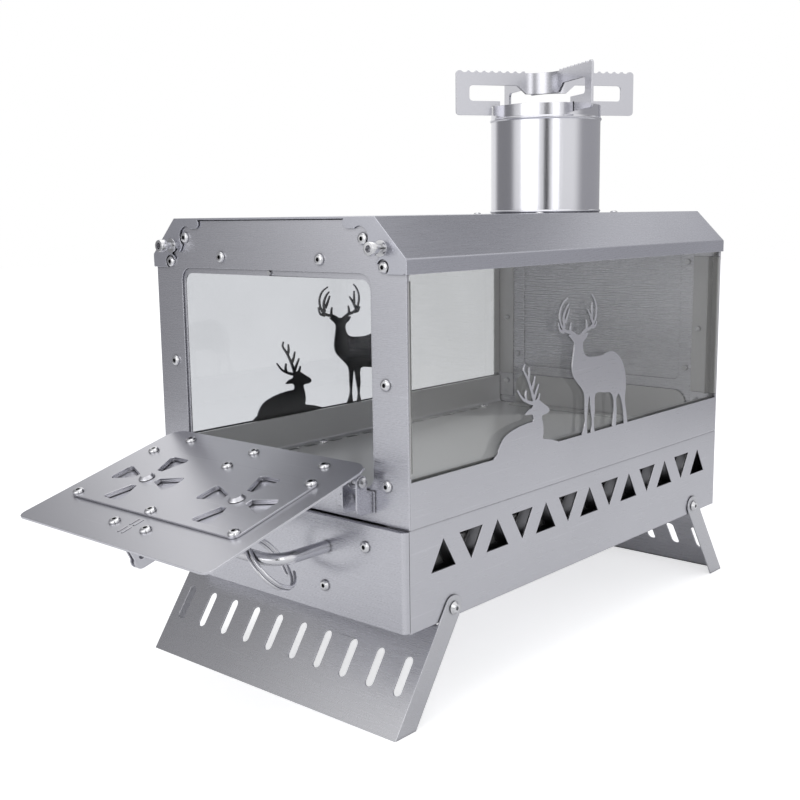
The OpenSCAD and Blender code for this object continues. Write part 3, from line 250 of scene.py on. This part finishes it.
finish_of = {
    "base_pan": side_sheet, "side_rail_left": side_sheet, "side_rail_right": side_sheet,
    "top_rail_left": side_sheet, "top_rail_right": side_sheet, "base_rear_panel": end_plate,
    "vent_liner_left": shade_painted_vent, "vent_liner_right": shade_painted_vent,
    "bed_plate": bed_steel, "fire_plate": bed_steel, "rear_baffle": shade_painted_inside,
    "glass_left": smoked_pane, "glass_right": clear_pane,
    "front_frame": end_plate, "seal_frame": end_plate, "rear_frame": end_plate, "rear_panel": end_plate,
    "corner_posts_front": shade_painted_inside, "corner_posts_rear": shade_painted_inside,
    "hinge_bracket_left": end_plate, "hinge_bracket_right": end_plate,
    "roof_sheet": roof_steel, "flue_collar": collar_steel,
    "pot_stand_front": stand_steel, "pot_stand_rear": stand_steel,
    "door_plate": door_steel, "door_baffle": door_steel, "door_hinge_strip": door_steel,
    "door_handle_left": door_steel, "door_handle_right": door_steel,
    "air_disc_left": door_steel, "air_disc_right": door_steel,
    "air_knob_left": screw_steel, "air_knob_right": screw_steel,
    "drawer_front": end_plate, "drawer_tray": shade_painted_inside, "drawer_handle": rod_steel,
    "front_leg": leg_steel, "rear_leg": leg_steel,
}


# ---- Softened copies of the sheet pieces ----

merge_reach = 2e-6                     # corners closer than this are one corner
flat_turn = math.radians(0.6)          # faces that turn less than this are one flat face
crease_turn = math.radians(28.0)       # edges that turn more than this are eased
inner_fold_share = 0.25                # how round the inside of a fold is next to its outside
sheet_smoothing = 40.0


def softened(node, cut_edge, folds=None, fold_radius=0.0):
    """A copy of a piece with its cut edges eased and its folds rounded.

    folds(direction, middle, length) says which edges are folds of the sheet.
    """
    source = nodes[node]
    mesh = source.data.copy()
    piece = bpy.data.objects.new(node + "_finished", mesh)
    bpy.context.scene.collection.objects.link(piece)
    work = bmesh.new()
    work.from_mesh(mesh)
    bmesh.ops.remove_doubles(work, verts=work.verts, dist=merge_reach)
    bmesh.ops.dissolve_limit(work, angle_limit=flat_turn, verts=work.verts, edges=work.edges)
    bmesh.ops.recalc_face_normals(work, faces=work.faces)
    kept = work.edges.layers.float
    weight = kept.get("bevel_weight_edge") or kept.new("bevel_weight_edge")
    widest = max(cut_edge, fold_radius)
    for face in work.faces:
        face.material_index = 1 if is_cut_edge(face) else 0
    for edge in work.edges:
        if len(edge.link_faces) != 2:
            continue
        turn = edge.calc_face_angle_signed(0.0)
        if abs(turn) < crease_turn:
            continue
        ends = [v.co for v in edge.verts]
        along = ends[1] - ends[0]
        if turn > 0:
            edge[weight] = cut_edge / widest
        if folds and folds(along.normalized(), (ends[0] + ends[1]) / 2, along.length):
            edge[weight] = 1.0 if turn > 0 else inner_fold_share
    work.to_mesh(mesh)
    work.free()
    mesh.materials.clear()
    mesh.materials.append(None)
    mesh.materials.append(None)
    ease = piece.modifiers.new("eased", "BEVEL")
    ease.limit_method = "WEIGHT"
    ease.width = widest
    ease.segments = 3 if fold_radius else 2
    ease.use_clamp_overlap = False
    ease.harden_normals = False
    finished = flat_shaded(bake(piece), sheet_smoothing)
    finished.data.materials.clear()
    finished.data.materials.append(finish_of[node])
    if not node.startswith("glass"):
        finished.data.materials.append(cut_edge_steel)
    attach(finished, body_of[node])
    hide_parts(node)


thickest_sheet = 2.3 * mm
small_facet = 8 * mm                   # a face with a shorter way round is a facet of a curve
facet_width = thickest_sheet / 2 * 1.02


def is_cut_edge(face):
    """True for the narrow faces left where the sheet was cut, told by their shorter side."""
    area = face.calc_area()
    around = face.calc_perimeter()
    if area <= 0.0:
        return False
    half_sum = around / 4
    short = half_sum - math.sqrt(max(half_sum * half_sum - area, 0.0))
    return short < (facet_width if around < small_facet else thickest_sheet)


def bake(piece):
    """The piece with its modifiers applied, as a plain mesh under the same name."""
    bpy.context.view_layer.update()
    depsgraph = bpy.context.evaluated_depsgraph_get()
    mesh = bpy.data.meshes.new_from_object(piece.evaluated_get(depsgraph), depsgraph=depsgraph)
    name = piece.name
    old = piece.data
    bpy.data.objects.remove(piece)
    if old.users == 0:
        bpy.data.meshes.remove(old)
    made = bpy.data.objects.new(name, mesh)
    made.name = name
    bpy.context.scene.collection.objects.link(made)
    return made


def flat_shaded(piece, degrees):
    """Broad faces stay flat and only the small eased edges between them shade round."""
    for face in piece.data.polygons:
        face.use_smooth = True
    smooth_by_angle(piece, degrees)
    even = piece.modifiers.new("even", "WEIGHTED_NORMAL")
    even.mode = "FACE_AREA"
    even.weight = 50
    even.keep_sharp = True
    return bake(piece)


def smooth_by_angle(piece, degrees):
    work = bmesh.new()
    work.from_mesh(piece.data)
    for edge in work.edges:
        if len(edge.link_faces) == 2:
            edge.smooth = edge.calc_face_angle(0.0) < math.radians(degrees)
    work.to_mesh(piece.data)
    work.free()


pan_low, pan_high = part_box("base_pan")
roof_low, roof_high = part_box("roof_sheet")
rail_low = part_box("side_rail_right")[0]
half = pan_high.x
fold_reach = 1.5 * mm
fold_length = 0.1
straight = 0.999


def near(value, target):
    return abs(value - target) < fold_reach


def pan_fold(direction, middle, length):
    """The folds along the base pan's sides, at its bottom and at its top flanges."""
    if length < fold_length or abs(direction.y) < straight:
        return False
    return near(abs(middle.x), half) and (near(middle.z, pan_low.z) or near(middle.z, pan_high.z))


def roof_fold(direction, middle, length):
    """The folds along the roof, above its lips' cut edges."""
    return length > fold_length and abs(direction.y) > straight and middle.z > roof_low.z + 2 * mm


def rail_fold(direction, middle, length):
    """The fold along the foot of a side rail."""
    if length < fold_length or abs(direction.y) < straight:
        return False
    return abs(middle.x) > half - fold_reach and middle.z < rail_low.z + fold_reach


def frame_fold(direction, middle, length):
    """The folds across the foot and the head of an end plate."""
    if length < fold_length or abs(direction.x) < straight:
        return False
    return not pan_high.z + 6 * mm < middle.z < roof_high.z - 6 * mm


def door_axis():
    """The direction the open door's inner face looks in."""
    co = np.array([v.co for v in nodes["door_plate"].data.vertices])
    normal = Vector(np.linalg.svd(co - co.mean(0), full_matrices=False)[2][2])
    return normal if normal.z > 0 else -normal


door_up = door_axis()

softened("base_pan", 0.15 * mm, pan_fold, 1.3 * mm)
softened("base_rear_panel", 0.2 * mm)
for side in ("left", "right"):
    softened("side_rail_" + side, 0.18 * mm, rail_fold, 0.9 * mm)
    softened("top_rail_" + side, 0.2 * mm)
    softened("vent_liner_" + side, 0.15 * mm)
    softened("glass_" + side, 0.4 * mm)
    softened("hinge_bracket_" + side, 0.25 * mm)
    softened("door_handle_" + side, 0.25 * mm)
    softened("air_disc_" + side, 0.2 * mm)
    softened("air_knob_" + side, 0.6 * mm)
softened("bed_plate", 0.2 * mm)
softened("fire_plate", 0.3 * mm)
softened("rear_baffle", 0.2 * mm)
softened("front_frame", 0.2 * mm, frame_fold, 0.9 * mm)
softened("seal_frame", 0.25 * mm)
softened("rear_frame", 0.2 * mm, frame_fold, 0.9 * mm)
softened("rear_panel", 0.3 * mm)
softened("corner_posts_front", 0.2 * mm)
softened("corner_posts_rear", 0.2 * mm)
softened("roof_sheet", 0.2 * mm, roof_fold, 1.1 * mm)
softened("pot_stand_front", 0.25 * mm)
softened("pot_stand_rear", 0.25 * mm)
softened("door_plate", 0.25 * mm)
softened("door_baffle", 0.25 * mm)
softened("door_hinge_strip", 0.25 * mm)
softened("drawer_front", 0.3 * mm)
softened("drawer_tray", 0.2 * mm)
softened("drawer_handle", 0.2 * mm)
softened("front_leg", 0.25 * mm)
softened("rear_leg", 0.25 * mm)


# ---- Screws, bolts and rivets, set by Geometry Nodes ----

def islands(node):
    """Lowest and highest corner of each separate solid in a piece."""
    work = bmesh.new()
    work.from_mesh(nodes[node].data)
    bmesh.ops.remove_doubles(work, verts=work.verts, dist=merge_reach)
    seen = set()
    found = []
    for start in work.verts:
        if start.index in seen:
            continue
        stack = [start]
        seen.add(start.index)
        points = []
        while stack:
            v = stack.pop()
            points.append(v.co.copy())
            for e in v.link_edges:
                other = e.other_vert(v)
                if other.index not in seen:
                    seen.add(other.index)
                    stack.append(other)
        co = np.array([tuple(p) for p in points])
        found.append((Vector(co.min(0)), Vector(co.max(0)), co))
    work.free()
    return found


socket_taper = 0.96
turned_smoothing = 38.0


def turned(name, profile, sides, socket=None):
    """A solid turned about Z from (radius, height) pairs.

    socket is the width and depth of a six-sided socket sunk in its top.
    The socket's faces are marked for a finish of their own, for most fasteners a near-black painted shade.
    """
    work = bmesh.new()
    rings = []
    angles = [2 * math.pi * k / sides for k in range(sides)]
    for r, z in profile:
        rings.append([work.verts.new((r * math.cos(a), r * math.sin(a), z)) for a in angles])
    for low, high in zip(rings, rings[1:]):
        for k in range(sides):
            j = (k + 1) % sides
            work.faces.new((low[k], low[j], high[j], high[k]))
    work.faces.new(list(reversed(rings[0])))
    top = rings[-1]
    sunk = []
    if socket:
        across, depth = socket
        height = profile[-1][1]
        mouth = []
        for a in angles:
            sector = (a + math.pi / 6) % (math.pi / 3) - math.pi / 6
            r = across / 2 / math.cos(sector)
            mouth.append((r * math.cos(a), r * math.sin(a)))
        rim = [work.verts.new((x, y, height)) for x, y in mouth]
        floor = [work.verts.new((x * socket_taper, y * socket_taper, height - depth)) for x, y in mouth]
        for outer, inner in ((top, rim), (rim, floor)):
            for k in range(sides):
                j = (k + 1) % sides
                face = work.faces.new((outer[k], outer[j], inner[j], inner[k]))
                if inner is floor:
                    sunk.append(face)
        top = floor
    last = work.faces.new(top)
    if socket:
        sunk.append(last)
    bmesh.ops.recalc_face_normals(work, faces=work.faces)
    work.faces.index_update()
    sunk_faces = [face.index for face in sunk]
    mesh = bpy.data.meshes.new(name)
    work.to_mesh(mesh)
    work.free()
    marked = mesh.attributes.new("socket", "BOOLEAN", "FACE")
    for index in sunk_faces:
        marked.data[index].value = True
    for face in mesh.polygons:
        face.use_smooth = True
    made = bpy.data.objects.new(name, mesh)
    bpy.context.scene.collection.objects.link(made)
    smooth_by_angle(made, turned_smoothing)
    return made


def fastener_tree():
    """Sets one fastener at each point, turned to the point's own direction, as real geometry."""
    tree = bpy.data.node_groups.new("set_fasteners", "GeometryNodeTree")
    for label, kind in (("Points", "Geometry"), ("Fastener", "Object"), ("Finish", "Material"),
                        ("Socket finish", "Material")):
        tree.interface.new_socket(label, in_out="INPUT", socket_type="NodeSocket" + kind)
    tree.interface.new_socket("Set", in_out="OUTPUT", socket_type="NodeSocketGeometry")
    given = tree.nodes.new("NodeGroupInput")
    out = tree.nodes.new("NodeGroupOutput")
    head = linked(tree, "GeometryNodeObjectInfo", {"transform_space": "ORIGINAL"}, Object=given.outputs[1])
    aim = linked(tree, "GeometryNodeInputNamedAttribute", {"data_type": "FLOAT_VECTOR"}, Name="aim")
    turn = linked(tree, "FunctionNodeAlignRotationToVector", {"axis": "Z"}, Vector=aim.outputs[0])
    spin = linked(tree, "GeometryNodeInputNamedAttribute", {"data_type": "FLOAT"}, Name="spin")
    about = linked(tree, "ShaderNodeCombineXYZ", Z=spin.outputs[0])
    settled = linked(tree, "FunctionNodeRotateRotation", {"rotation_space": "LOCAL"},
                     Rotation=turn.outputs[0], i1=about.outputs[0])
    size = linked(tree, "GeometryNodeInputNamedAttribute", {"data_type": "FLOAT_VECTOR"}, Name="size")
    placed = linked(tree, "GeometryNodeInstanceOnPoints", Points=given.outputs[0],
                    Instance=head.outputs["Geometry"], Rotation=settled.outputs[0], Scale=size.outputs[0])
    real = linked(tree, "GeometryNodeRealizeInstances", Geometry=placed.outputs[0])
    painted = linked(tree, "GeometryNodeSetMaterial", Geometry=real.outputs[0], Material=given.outputs[2])
    sunk = linked(tree, "GeometryNodeInputNamedAttribute", {"data_type": "BOOLEAN"}, Name="socket")
    shaded = linked(tree, "GeometryNodeSetMaterial", Geometry=painted.outputs[0],
                    Selection=sunk.outputs[0], Material=given.outputs[3])
    tree.links.new(shaded.outputs[0], out.inputs[0])
    return tree


set_fasteners = fastener_tree()
spin_seed = 11
rng = np.random.default_rng(spin_seed)


def fasten(name, node, places, pattern, socket_finish=socket_shade_steel):
    """Bakes one mesh of fasteners in a node's stead. places: (point, direction, scale) for each one."""
    mesh = bpy.data.meshes.new(name + "_points")
    mesh.from_pydata([tuple(p) for p, _, _ in places], [], [])
    for label, kind in (("aim", "FLOAT_VECTOR"), ("size", "FLOAT_VECTOR"), ("spin", "FLOAT")):
        mesh.attributes.new(label, kind, "POINT")
    for i, (_, aim, size) in enumerate(places):
        mesh.attributes["aim"].data[i].vector = aim
        mesh.attributes["size"].data[i].vector = size
        mesh.attributes["spin"].data[i].value = float(rng.uniform(0, math.pi / 3))
    holder = bpy.data.objects.new(name, mesh)
    bpy.context.scene.collection.objects.link(holder)
    node_setter = holder.modifiers.new("set", "NODES")
    node_setter.node_group = set_fasteners
    sockets = {s.name: s.identifier for s in set_fasteners.interface.items_tree if s.in_out == "INPUT"}
    node_setter[sockets["Fastener"]] = pattern
    node_setter[sockets["Finish"]] = screw_steel
    node_setter[sockets["Socket finish"]] = socket_finish
    made = bake(holder)
    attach(made, body_of[node])
    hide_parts(node)


button_radius = 3.7 * mm
button_height = 2.07 * mm
button_rim = 0.5 * mm
button_flat = button_radius * 0.56
button_socket = (2.6 * mm, 1.1 * mm)
screw_radius = 2.0 * mm
screw_length = 5.4 * mm
rim_break = 0.12 * mm                  # the small slope round the underside of a button head
bracket_screw_scale = 6.4 / 7.4
rivet_height = 1.4 * mm
bolt_reach = 12.0 * mm


def button_profile(steps=6):
    """A button head over its shank, from the shank's end up to the edge of the socket."""
    turns = [math.pi / 2 * k / steps for k in range(steps + 1)]
    dome = [(button_flat + (button_radius - button_flat) * math.cos(a),
             button_rim + (button_height - button_rim) * math.sin(a)) for a in turns]
    shank = [(screw_radius, -screw_length), (screw_radius, 0.0)]
    return shank + [(button_radius - rim_break, 0.0), (button_radius, rim_break)] + dome


def in_mm(outline):
    return [(r * mm, z * mm) for r, z in outline]


button = turned("button_screw", button_profile(), 28, button_socket)
rivet = turned("collar_rivet", in_mm([(1.5, -2.4), (1.5, 0), (3.0, 0), (3.1, 0.2), (2.8, 0.8), (2.1, 1.2),
                                      (1.2, 1.38), (0.4, 1.4)]), 24)
roof_bolt = turned("roof_bolt", in_mm([(2.5, -5.0), (2.5, 0.6), (4.9, 0.6), (5.0, 0.75), (5.0, 1.6),
                                       (4.85, 1.8), (2.5, 1.85), (2.5, 7.0), (4.0, 7.0), (4.25, 7.3),
                                       (4.25, 11.4), (3.9, 11.9), (2.9, 12.0)]), 32, (4.2 * mm, 2.4 * mm))


def aimed(node, pick):
    """Seats of a piece's screws: pick turns a solid's two corners into a seat and a direction."""
    return [pick(low, high) for low, high, _ in islands(node)]


def head_on(axis, sign, head_height=button_height):
    """A pick for heads that look along one axis: the seat lies a head's height under the top."""
    def pick(low, high):
        seat = (low + high) / 2
        seat[axis] = (high[axis] if sign > 0 else low[axis]) - sign * head_height
        aim = Vector((0, 0, 0))
        aim[axis] = sign
        return seat, aim, (1, 1, 1)
    return pick


def bracket_screw_seats():
    """The hinge brackets' screws are smaller, so their heads start further out."""
    further = Vector((0, -button_height * (1 - bracket_screw_scale), 0))
    seats = aimed("hinge_bracket_screws", head_on(1, -1))
    return [(seat + further, aim, (bracket_screw_scale,) * 3) for seat, aim, _ in seats]


def door_screw_seats(cap=0.3 * mm):
    """The door's screws look along the door's own axis: cap is the part of a head that gives its middle."""
    seats = []
    for _, _, co in islands("door_screws"):
        height = co @ np.array(door_up)
        top = height.max()
        middle = Vector(co[height > top - cap].mean(0))
        seats.append((middle + door_up * (top - button_height - middle.dot(door_up)), door_up, (1, 1, 1)))
    return seats


for place, node, axis, sign in (("front", "frame_screws_front", 1, -1), ("rear", "frame_screws_rear", 1, 1),
                                ("bed", "bed_screws", 2, 1), ("drawer", "drawer_screws", 1, -1)):
    fasten("screws_in_" + place, node, aimed(node, head_on(axis, sign)), button)
fasten("screws_in_brackets", "hinge_bracket_screws", bracket_screw_seats(), button)
fasten("screws_in_door", "door_screws", door_screw_seats(), button)
fasten("rivets_in_roof", "collar_rivets", aimed("collar_rivets", head_on(2, 1, rivet_height)), rivet)
for end, sign in (("front", -1), ("rear", 1)):
    bolts = "roof_bolts_" + end
    fasten("bolts_in_" + end, bolts, aimed(bolts, head_on(1, sign, bolt_reach)), roof_bolt,
           socket_finish=leg_steel)


def stock_finish(node, material):
    """Gives a piece that keeps its own mesh its finish."""
    for place in nodes[node].material_slots:
        place.material = material


for name in ("hinge_pins", "leg_pivots", "door_catch", "handle_nuts"):
    stock_finish(name, screw_steel)


# ---- The flue collar, spun from one tube ----

flue_radius = 45.0 * mm
flue_wall = 1.2 * mm
flue_rim = 0.35 * mm                   # how far the rim's two edges are rounded
flue_sides = 160
flue_smoothing = 50.0
foot_bead = 4.0 * mm                   # the lower bead's middle, over the flange's underside
stop_bead = 11.0 * mm                  # the upper bead's middle, under the rim


def spun(name, profile, sides, centre):
    """A closed wall turned about a standing axis from its outline as (radius, height) pairs."""
    work = bmesh.new()
    angles = [2 * math.pi * k / sides for k in range(sides)]
    rings = []
    for r, z in profile:
        rings.append([work.verts.new((centre.x + r * math.cos(a), centre.y + r * math.sin(a), z))
                      for a in angles])
    for low, high in zip(rings, rings[1:] + rings[:1]):
        for k in range(sides):
            j = (k + 1) % sides
            work.faces.new((low[k], low[j], high[j], high[k]))
    bmesh.ops.recalc_face_normals(work, faces=work.faces)
    mesh = bpy.data.meshes.new(name)
    work.to_mesh(mesh)
    work.free()
    made = bpy.data.objects.new(name, mesh)
    bpy.context.scene.collection.objects.link(made)
    for face in mesh.polygons:
        face.use_smooth = True
    smooth_by_angle(made, flue_smoothing)
    return made


def swell(radius, height, reach, tall, steps=7):
    """Points over a rolled bead: how far it stands out and how tall it is."""
    return [(radius + reach * math.sin(math.pi * k / steps) ** 1.3, height - tall / 2 + tall * k / steps)
            for k in range(steps + 1)]


def flue_collar():
    """The tube with its flange under the roof and two rolled beads, as one wall outside and inside."""
    low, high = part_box("flue_collar")
    flange = (high.x - low.x) / 2
    inner = flue_radius - flue_wall
    flange_top = low.z + flue_wall
    foot = low.z + foot_bead
    stop = high.z - stop_bead
    outside = [(flange, low.z), (flange, flange_top), (flue_radius + 0.6 * mm, flange_top),
               (flue_radius, flange_top + 0.4 * mm)]
    outside += swell(flue_radius, foot, 1.0 * mm, 2.6 * mm) + swell(flue_radius, stop, 1.0 * mm, 3.4 * mm)
    outside += [(flue_radius, high.z - flue_rim), (flue_radius - flue_rim, high.z)]
    inside = [(inner, low.z)]
    inside += swell(inner, foot, 0.8 * mm, 2.0 * mm) + swell(inner, stop, 0.8 * mm, 2.6 * mm)
    inside += [(inner, high.z - flue_rim), (inner + flue_rim, high.z)]
    wall = spun("flue_collar_finished", outside + inside[::-1], flue_sides, (low + high) / 2)
    collar = flat_shaded(wall, flue_smoothing)
    collar.data.materials.append(collar_steel)
    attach(collar, body_of["flue_collar"])
    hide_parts("flue_collar")


flue_collar()


# ---- The split pull ring ----

ring_swell = 0.1 * mm                  # makes up for what the rounding takes off the wire
ring_rounding = 2
quad_turn = math.radians(40)


def pull_ring():
    """The split ring's two turns of wire, rounded out from the plain wire of its solid."""
    mesh = nodes["pull_ring"].data.copy()
    ring = bpy.data.objects.new("pull_ring_finished", mesh)
    bpy.context.scene.collection.objects.link(ring)
    work = bmesh.new()
    work.from_mesh(mesh)
    bmesh.ops.remove_doubles(work, verts=work.verts, dist=merge_reach)
    bmesh.ops.join_triangles(work, faces=work.faces, angle_face_threshold=quad_turn,
                             angle_shape_threshold=math.pi)
    bmesh.ops.recalc_face_normals(work, faces=work.faces)
    work.normal_update()
    for v in work.verts:
        v.co += v.normal * ring_swell
    work.to_mesh(mesh)
    work.free()
    mesh.materials.clear()
    mesh.materials.append(rod_steel)
    rounder = ring.modifiers.new("rounded", "SUBSURF")
    rounder.levels = ring_rounding
    rounder.render_levels = ring_rounding
    ring = bake(ring)
    for face in ring.data.polygons:
        face.use_smooth = True
    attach(ring, body_of["pull_ring"])
    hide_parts("pull_ring")


pull_ring()
for pattern in (button, rivet, roof_bolt):
    bpy.data.objects.remove(pattern)


# ---- Camera, light and floor ----

# The camera was fitted to the photo. Its place counts from the middle of the body's underside.
camera_lens = 50.73
camera_place = Vector((0.54363, -0.68887, 0.25188))
camera_turn = (-41.514, -9.399, -0.77)
half_body = 0.2


def photo_camera():
    data = bpy.data.cameras.new("camera")
    data.lens = camera_lens
    data.sensor_width = 36.0
    camera = bpy.data.objects.new("camera", data)
    bpy.context.scene.collection.objects.link(camera)
    bpy.context.scene.camera = camera
    yaw, pitch, roll = (math.radians(a) for a in camera_turn)
    ahead = Vector((math.sin(yaw) * math.cos(pitch), math.cos(yaw) * math.cos(pitch), math.sin(pitch)))
    right = ahead.cross(Vector((0, 0, 1))).normalized()
    up = right.cross(ahead)
    level_right = right * math.cos(roll) + up * math.sin(roll)
    level_up = -right * math.sin(roll) + up * math.cos(roll)
    turn = Matrix((level_right, level_up, -ahead)).transposed().to_4x4()
    shift = Vector((0, pan_low.y + half_body, pan_low.z))
    camera.matrix_world = Matrix.Translation(camera_place + shift) @ turn


photo_camera()


def soft_box(name, place, aim, size, power):
    data = bpy.data.lights.new(name, "AREA")
    data.shape = "RECTANGLE"
    data.size, data.size_y = size
    data.energy = power
    lamp = bpy.data.objects.new(name, data)
    bpy.context.scene.collection.objects.link(lamp)
    lamp.location = place
    lamp.rotation_euler = (Vector(aim) - Vector(place)).to_track_quat("-Z", "Y").to_euler()


soft_box("left_of_camera", (0.06, -1.75, 0.75), (0, 0, 0.2), (1.35, 1.3), 5.5)
soft_box("right_of_camera", (1.50, -0.86, 0.75), (0, 0, 0.2), (0.40, 1.3), 2.0)
soft_box("overhead", (0, 0.1, 1.9), (0, 0, 0.1), (1.4, 1.4), 5.0)


card_fade = 0.55                       # share of a card's height that it keeps before it fades at the top


def studio_card(name, azimuths, distance, heights, level, soft, steps=24):
    """A curved grey card beside the stove that shows only where it is mirrored.

    azimuths are in degrees round the stove, and soft is the share of its width that fades at each side.
    """
    start, end = (math.radians(a) for a in azimuths)
    points = []
    for k in range(steps + 1):
        a = start + (end - start) * k / steps
        for z in heights:
            points.append((distance * math.cos(a), distance * math.sin(a), z))
    mesh = bpy.data.meshes.new(name)
    mesh.from_pydata(points, [], [(2 * k, 2 * k + 1, 2 * k + 3, 2 * k + 2) for k in range(steps)])
    across = mesh.uv_layers.new(name="across")
    for face in mesh.polygons:
        for corner in face.loop_indices:
            vertex = mesh.loops[corner].vertex_index
            across.data[corner].uv = ((vertex // 2) / steps, vertex % 2)
    card = bpy.data.objects.new(name, mesh)
    bpy.context.scene.collection.objects.link(card)
    material = bpy.data.materials.new(name + "_grey")
    material.use_nodes = True
    tree = material.node_tree
    tree.nodes.clear()
    place = linked(tree, "ShaderNodeUVMap", {"uv_map": "across"}).outputs[0]
    split = linked(tree, "ShaderNodeSeparateXYZ", i0=place)
    masks = []
    for axis, low, high in ((0, 0.0, soft), (0, 1.0, 1.0 - soft), (1, 1.0, card_fade)):
        mask = linked(tree, "ShaderNodeMapRange", {"interpolation_type": "SMOOTHSTEP"},
                      i0=split.outputs[axis], i1=low, i2=high, i3=0.0, i4=1.0)
        masks.append(mask.outputs[0])
    sides = linked(tree, "ShaderNodeMath", {"operation": "MULTIPLY"}, i0=masks[0], i1=masks[1])
    shown = linked(tree, "ShaderNodeMath", {"operation": "MULTIPLY"}, i0=sides.outputs[0], i1=masks[2])
    clear = tree.nodes.new("ShaderNodeBsdfTransparent")
    grey = linked(tree, "ShaderNodeEmission", i0=(1, 1, 1.04, 1), Strength=level)
    both = linked(tree, "ShaderNodeMixShader", i0=shown.outputs[0], i1=clear.outputs[0], i2=grey.outputs[0])
    output = tree.nodes.new("ShaderNodeOutputMaterial")
    tree.links.new(both.outputs[0], output.inputs[0])
    mesh.materials.append(material)
    card.visible_camera = False
    card.visible_diffuse = False
    card.visible_shadow = False


studio_card("card_left", (-198, -121), 1.0, (0.002, 1.5), 0.28, 0.24)
studio_card("card_above_left", (-180, -105), 0.95, (0.6, 1.6), 0.35, 0.2)
studio_card("card_right", (12, 125), 1.05, (0.002, 1.0), 0.42, 0.22)
studio_card("card_above_right", (50, 120), 1.0, (0.90, 1.7), 0.30, 0.25)
studio_card("card_behind_camera", (-56, -41), 1.25, (0.002, 0.9), 0.0, 0.25)


def studio_world():
    """White wherever it is seen or mirrored, and an even studio level for the rest."""
    world = bpy.data.worlds.new("studio")
    bpy.context.scene.world = world
    world.use_nodes = True
    tree = world.node_tree
    tree.nodes.clear()
    path = tree.nodes.new("ShaderNodeLightPath")
    seen = linked(tree, "ShaderNodeMath", {"operation": "MAXIMUM"}, i0=path.outputs["Is Camera Ray"],
                  i1=path.outputs["Is Glossy Ray"])
    shown = linked(tree, "ShaderNodeMath", {"operation": "MAXIMUM"}, i0=seen.outputs[0],
                   i1=path.outputs["Is Transmission Ray"])
    studio = linked(tree, "ShaderNodeBackground", i0=(0.97, 0.98, 1.0, 1), Strength=0.7)
    white = linked(tree, "ShaderNodeBackground", i0=(1, 1, 1, 1), Strength=1.0)
    both = linked(tree, "ShaderNodeMixShader", i0=shown.outputs[0],
                  i1=studio.outputs[0], i2=white.outputs[0])
    output = tree.nodes.new("ShaderNodeOutputWorld")
    tree.links.new(both.outputs[0], output.inputs[0])


studio_world()


def pale_floor():
    """A wide white floor that takes the stove's soft shadow."""
    mesh = bpy.data.meshes.new("floor")
    size = 6.0
    corners = [(-size, -size, 0), (size, -size, 0), (size, size, 0), (-size, size, 0)]
    mesh.from_pydata(corners, [], [(0, 1, 2, 3)])
    floor = bpy.data.objects.new("floor", mesh)
    bpy.context.scene.collection.objects.link(floor)
    material = bpy.data.materials.new("white_sweep")
    material.use_nodes = True
    tree = material.node_tree
    tree.nodes.clear()
    path = tree.nodes.new("ShaderNodeLightPath")
    mirrored = linked(tree, "ShaderNodeMapRange", i0=path.outputs["Is Glossy Ray"], i3=0.55, i4=0.0)
    matt = linked(tree, "ShaderNodeBsdfDiffuse", i0=(0.9, 0.9, 0.9, 1))
    glow = linked(tree, "ShaderNodeEmission", i0=(1, 1, 1, 1), Strength=mirrored.outputs[0])
    both = linked(tree, "ShaderNodeAddShader", i0=matt.outputs[0], i1=glow.outputs[0])
    output = tree.nodes.new("ShaderNodeOutputMaterial")
    tree.links.new(both.outputs[0], output.inputs[0])
    mesh.materials.append(material)


pale_floor()

bpy.context.scene.view_settings.view_transform = "Standard"
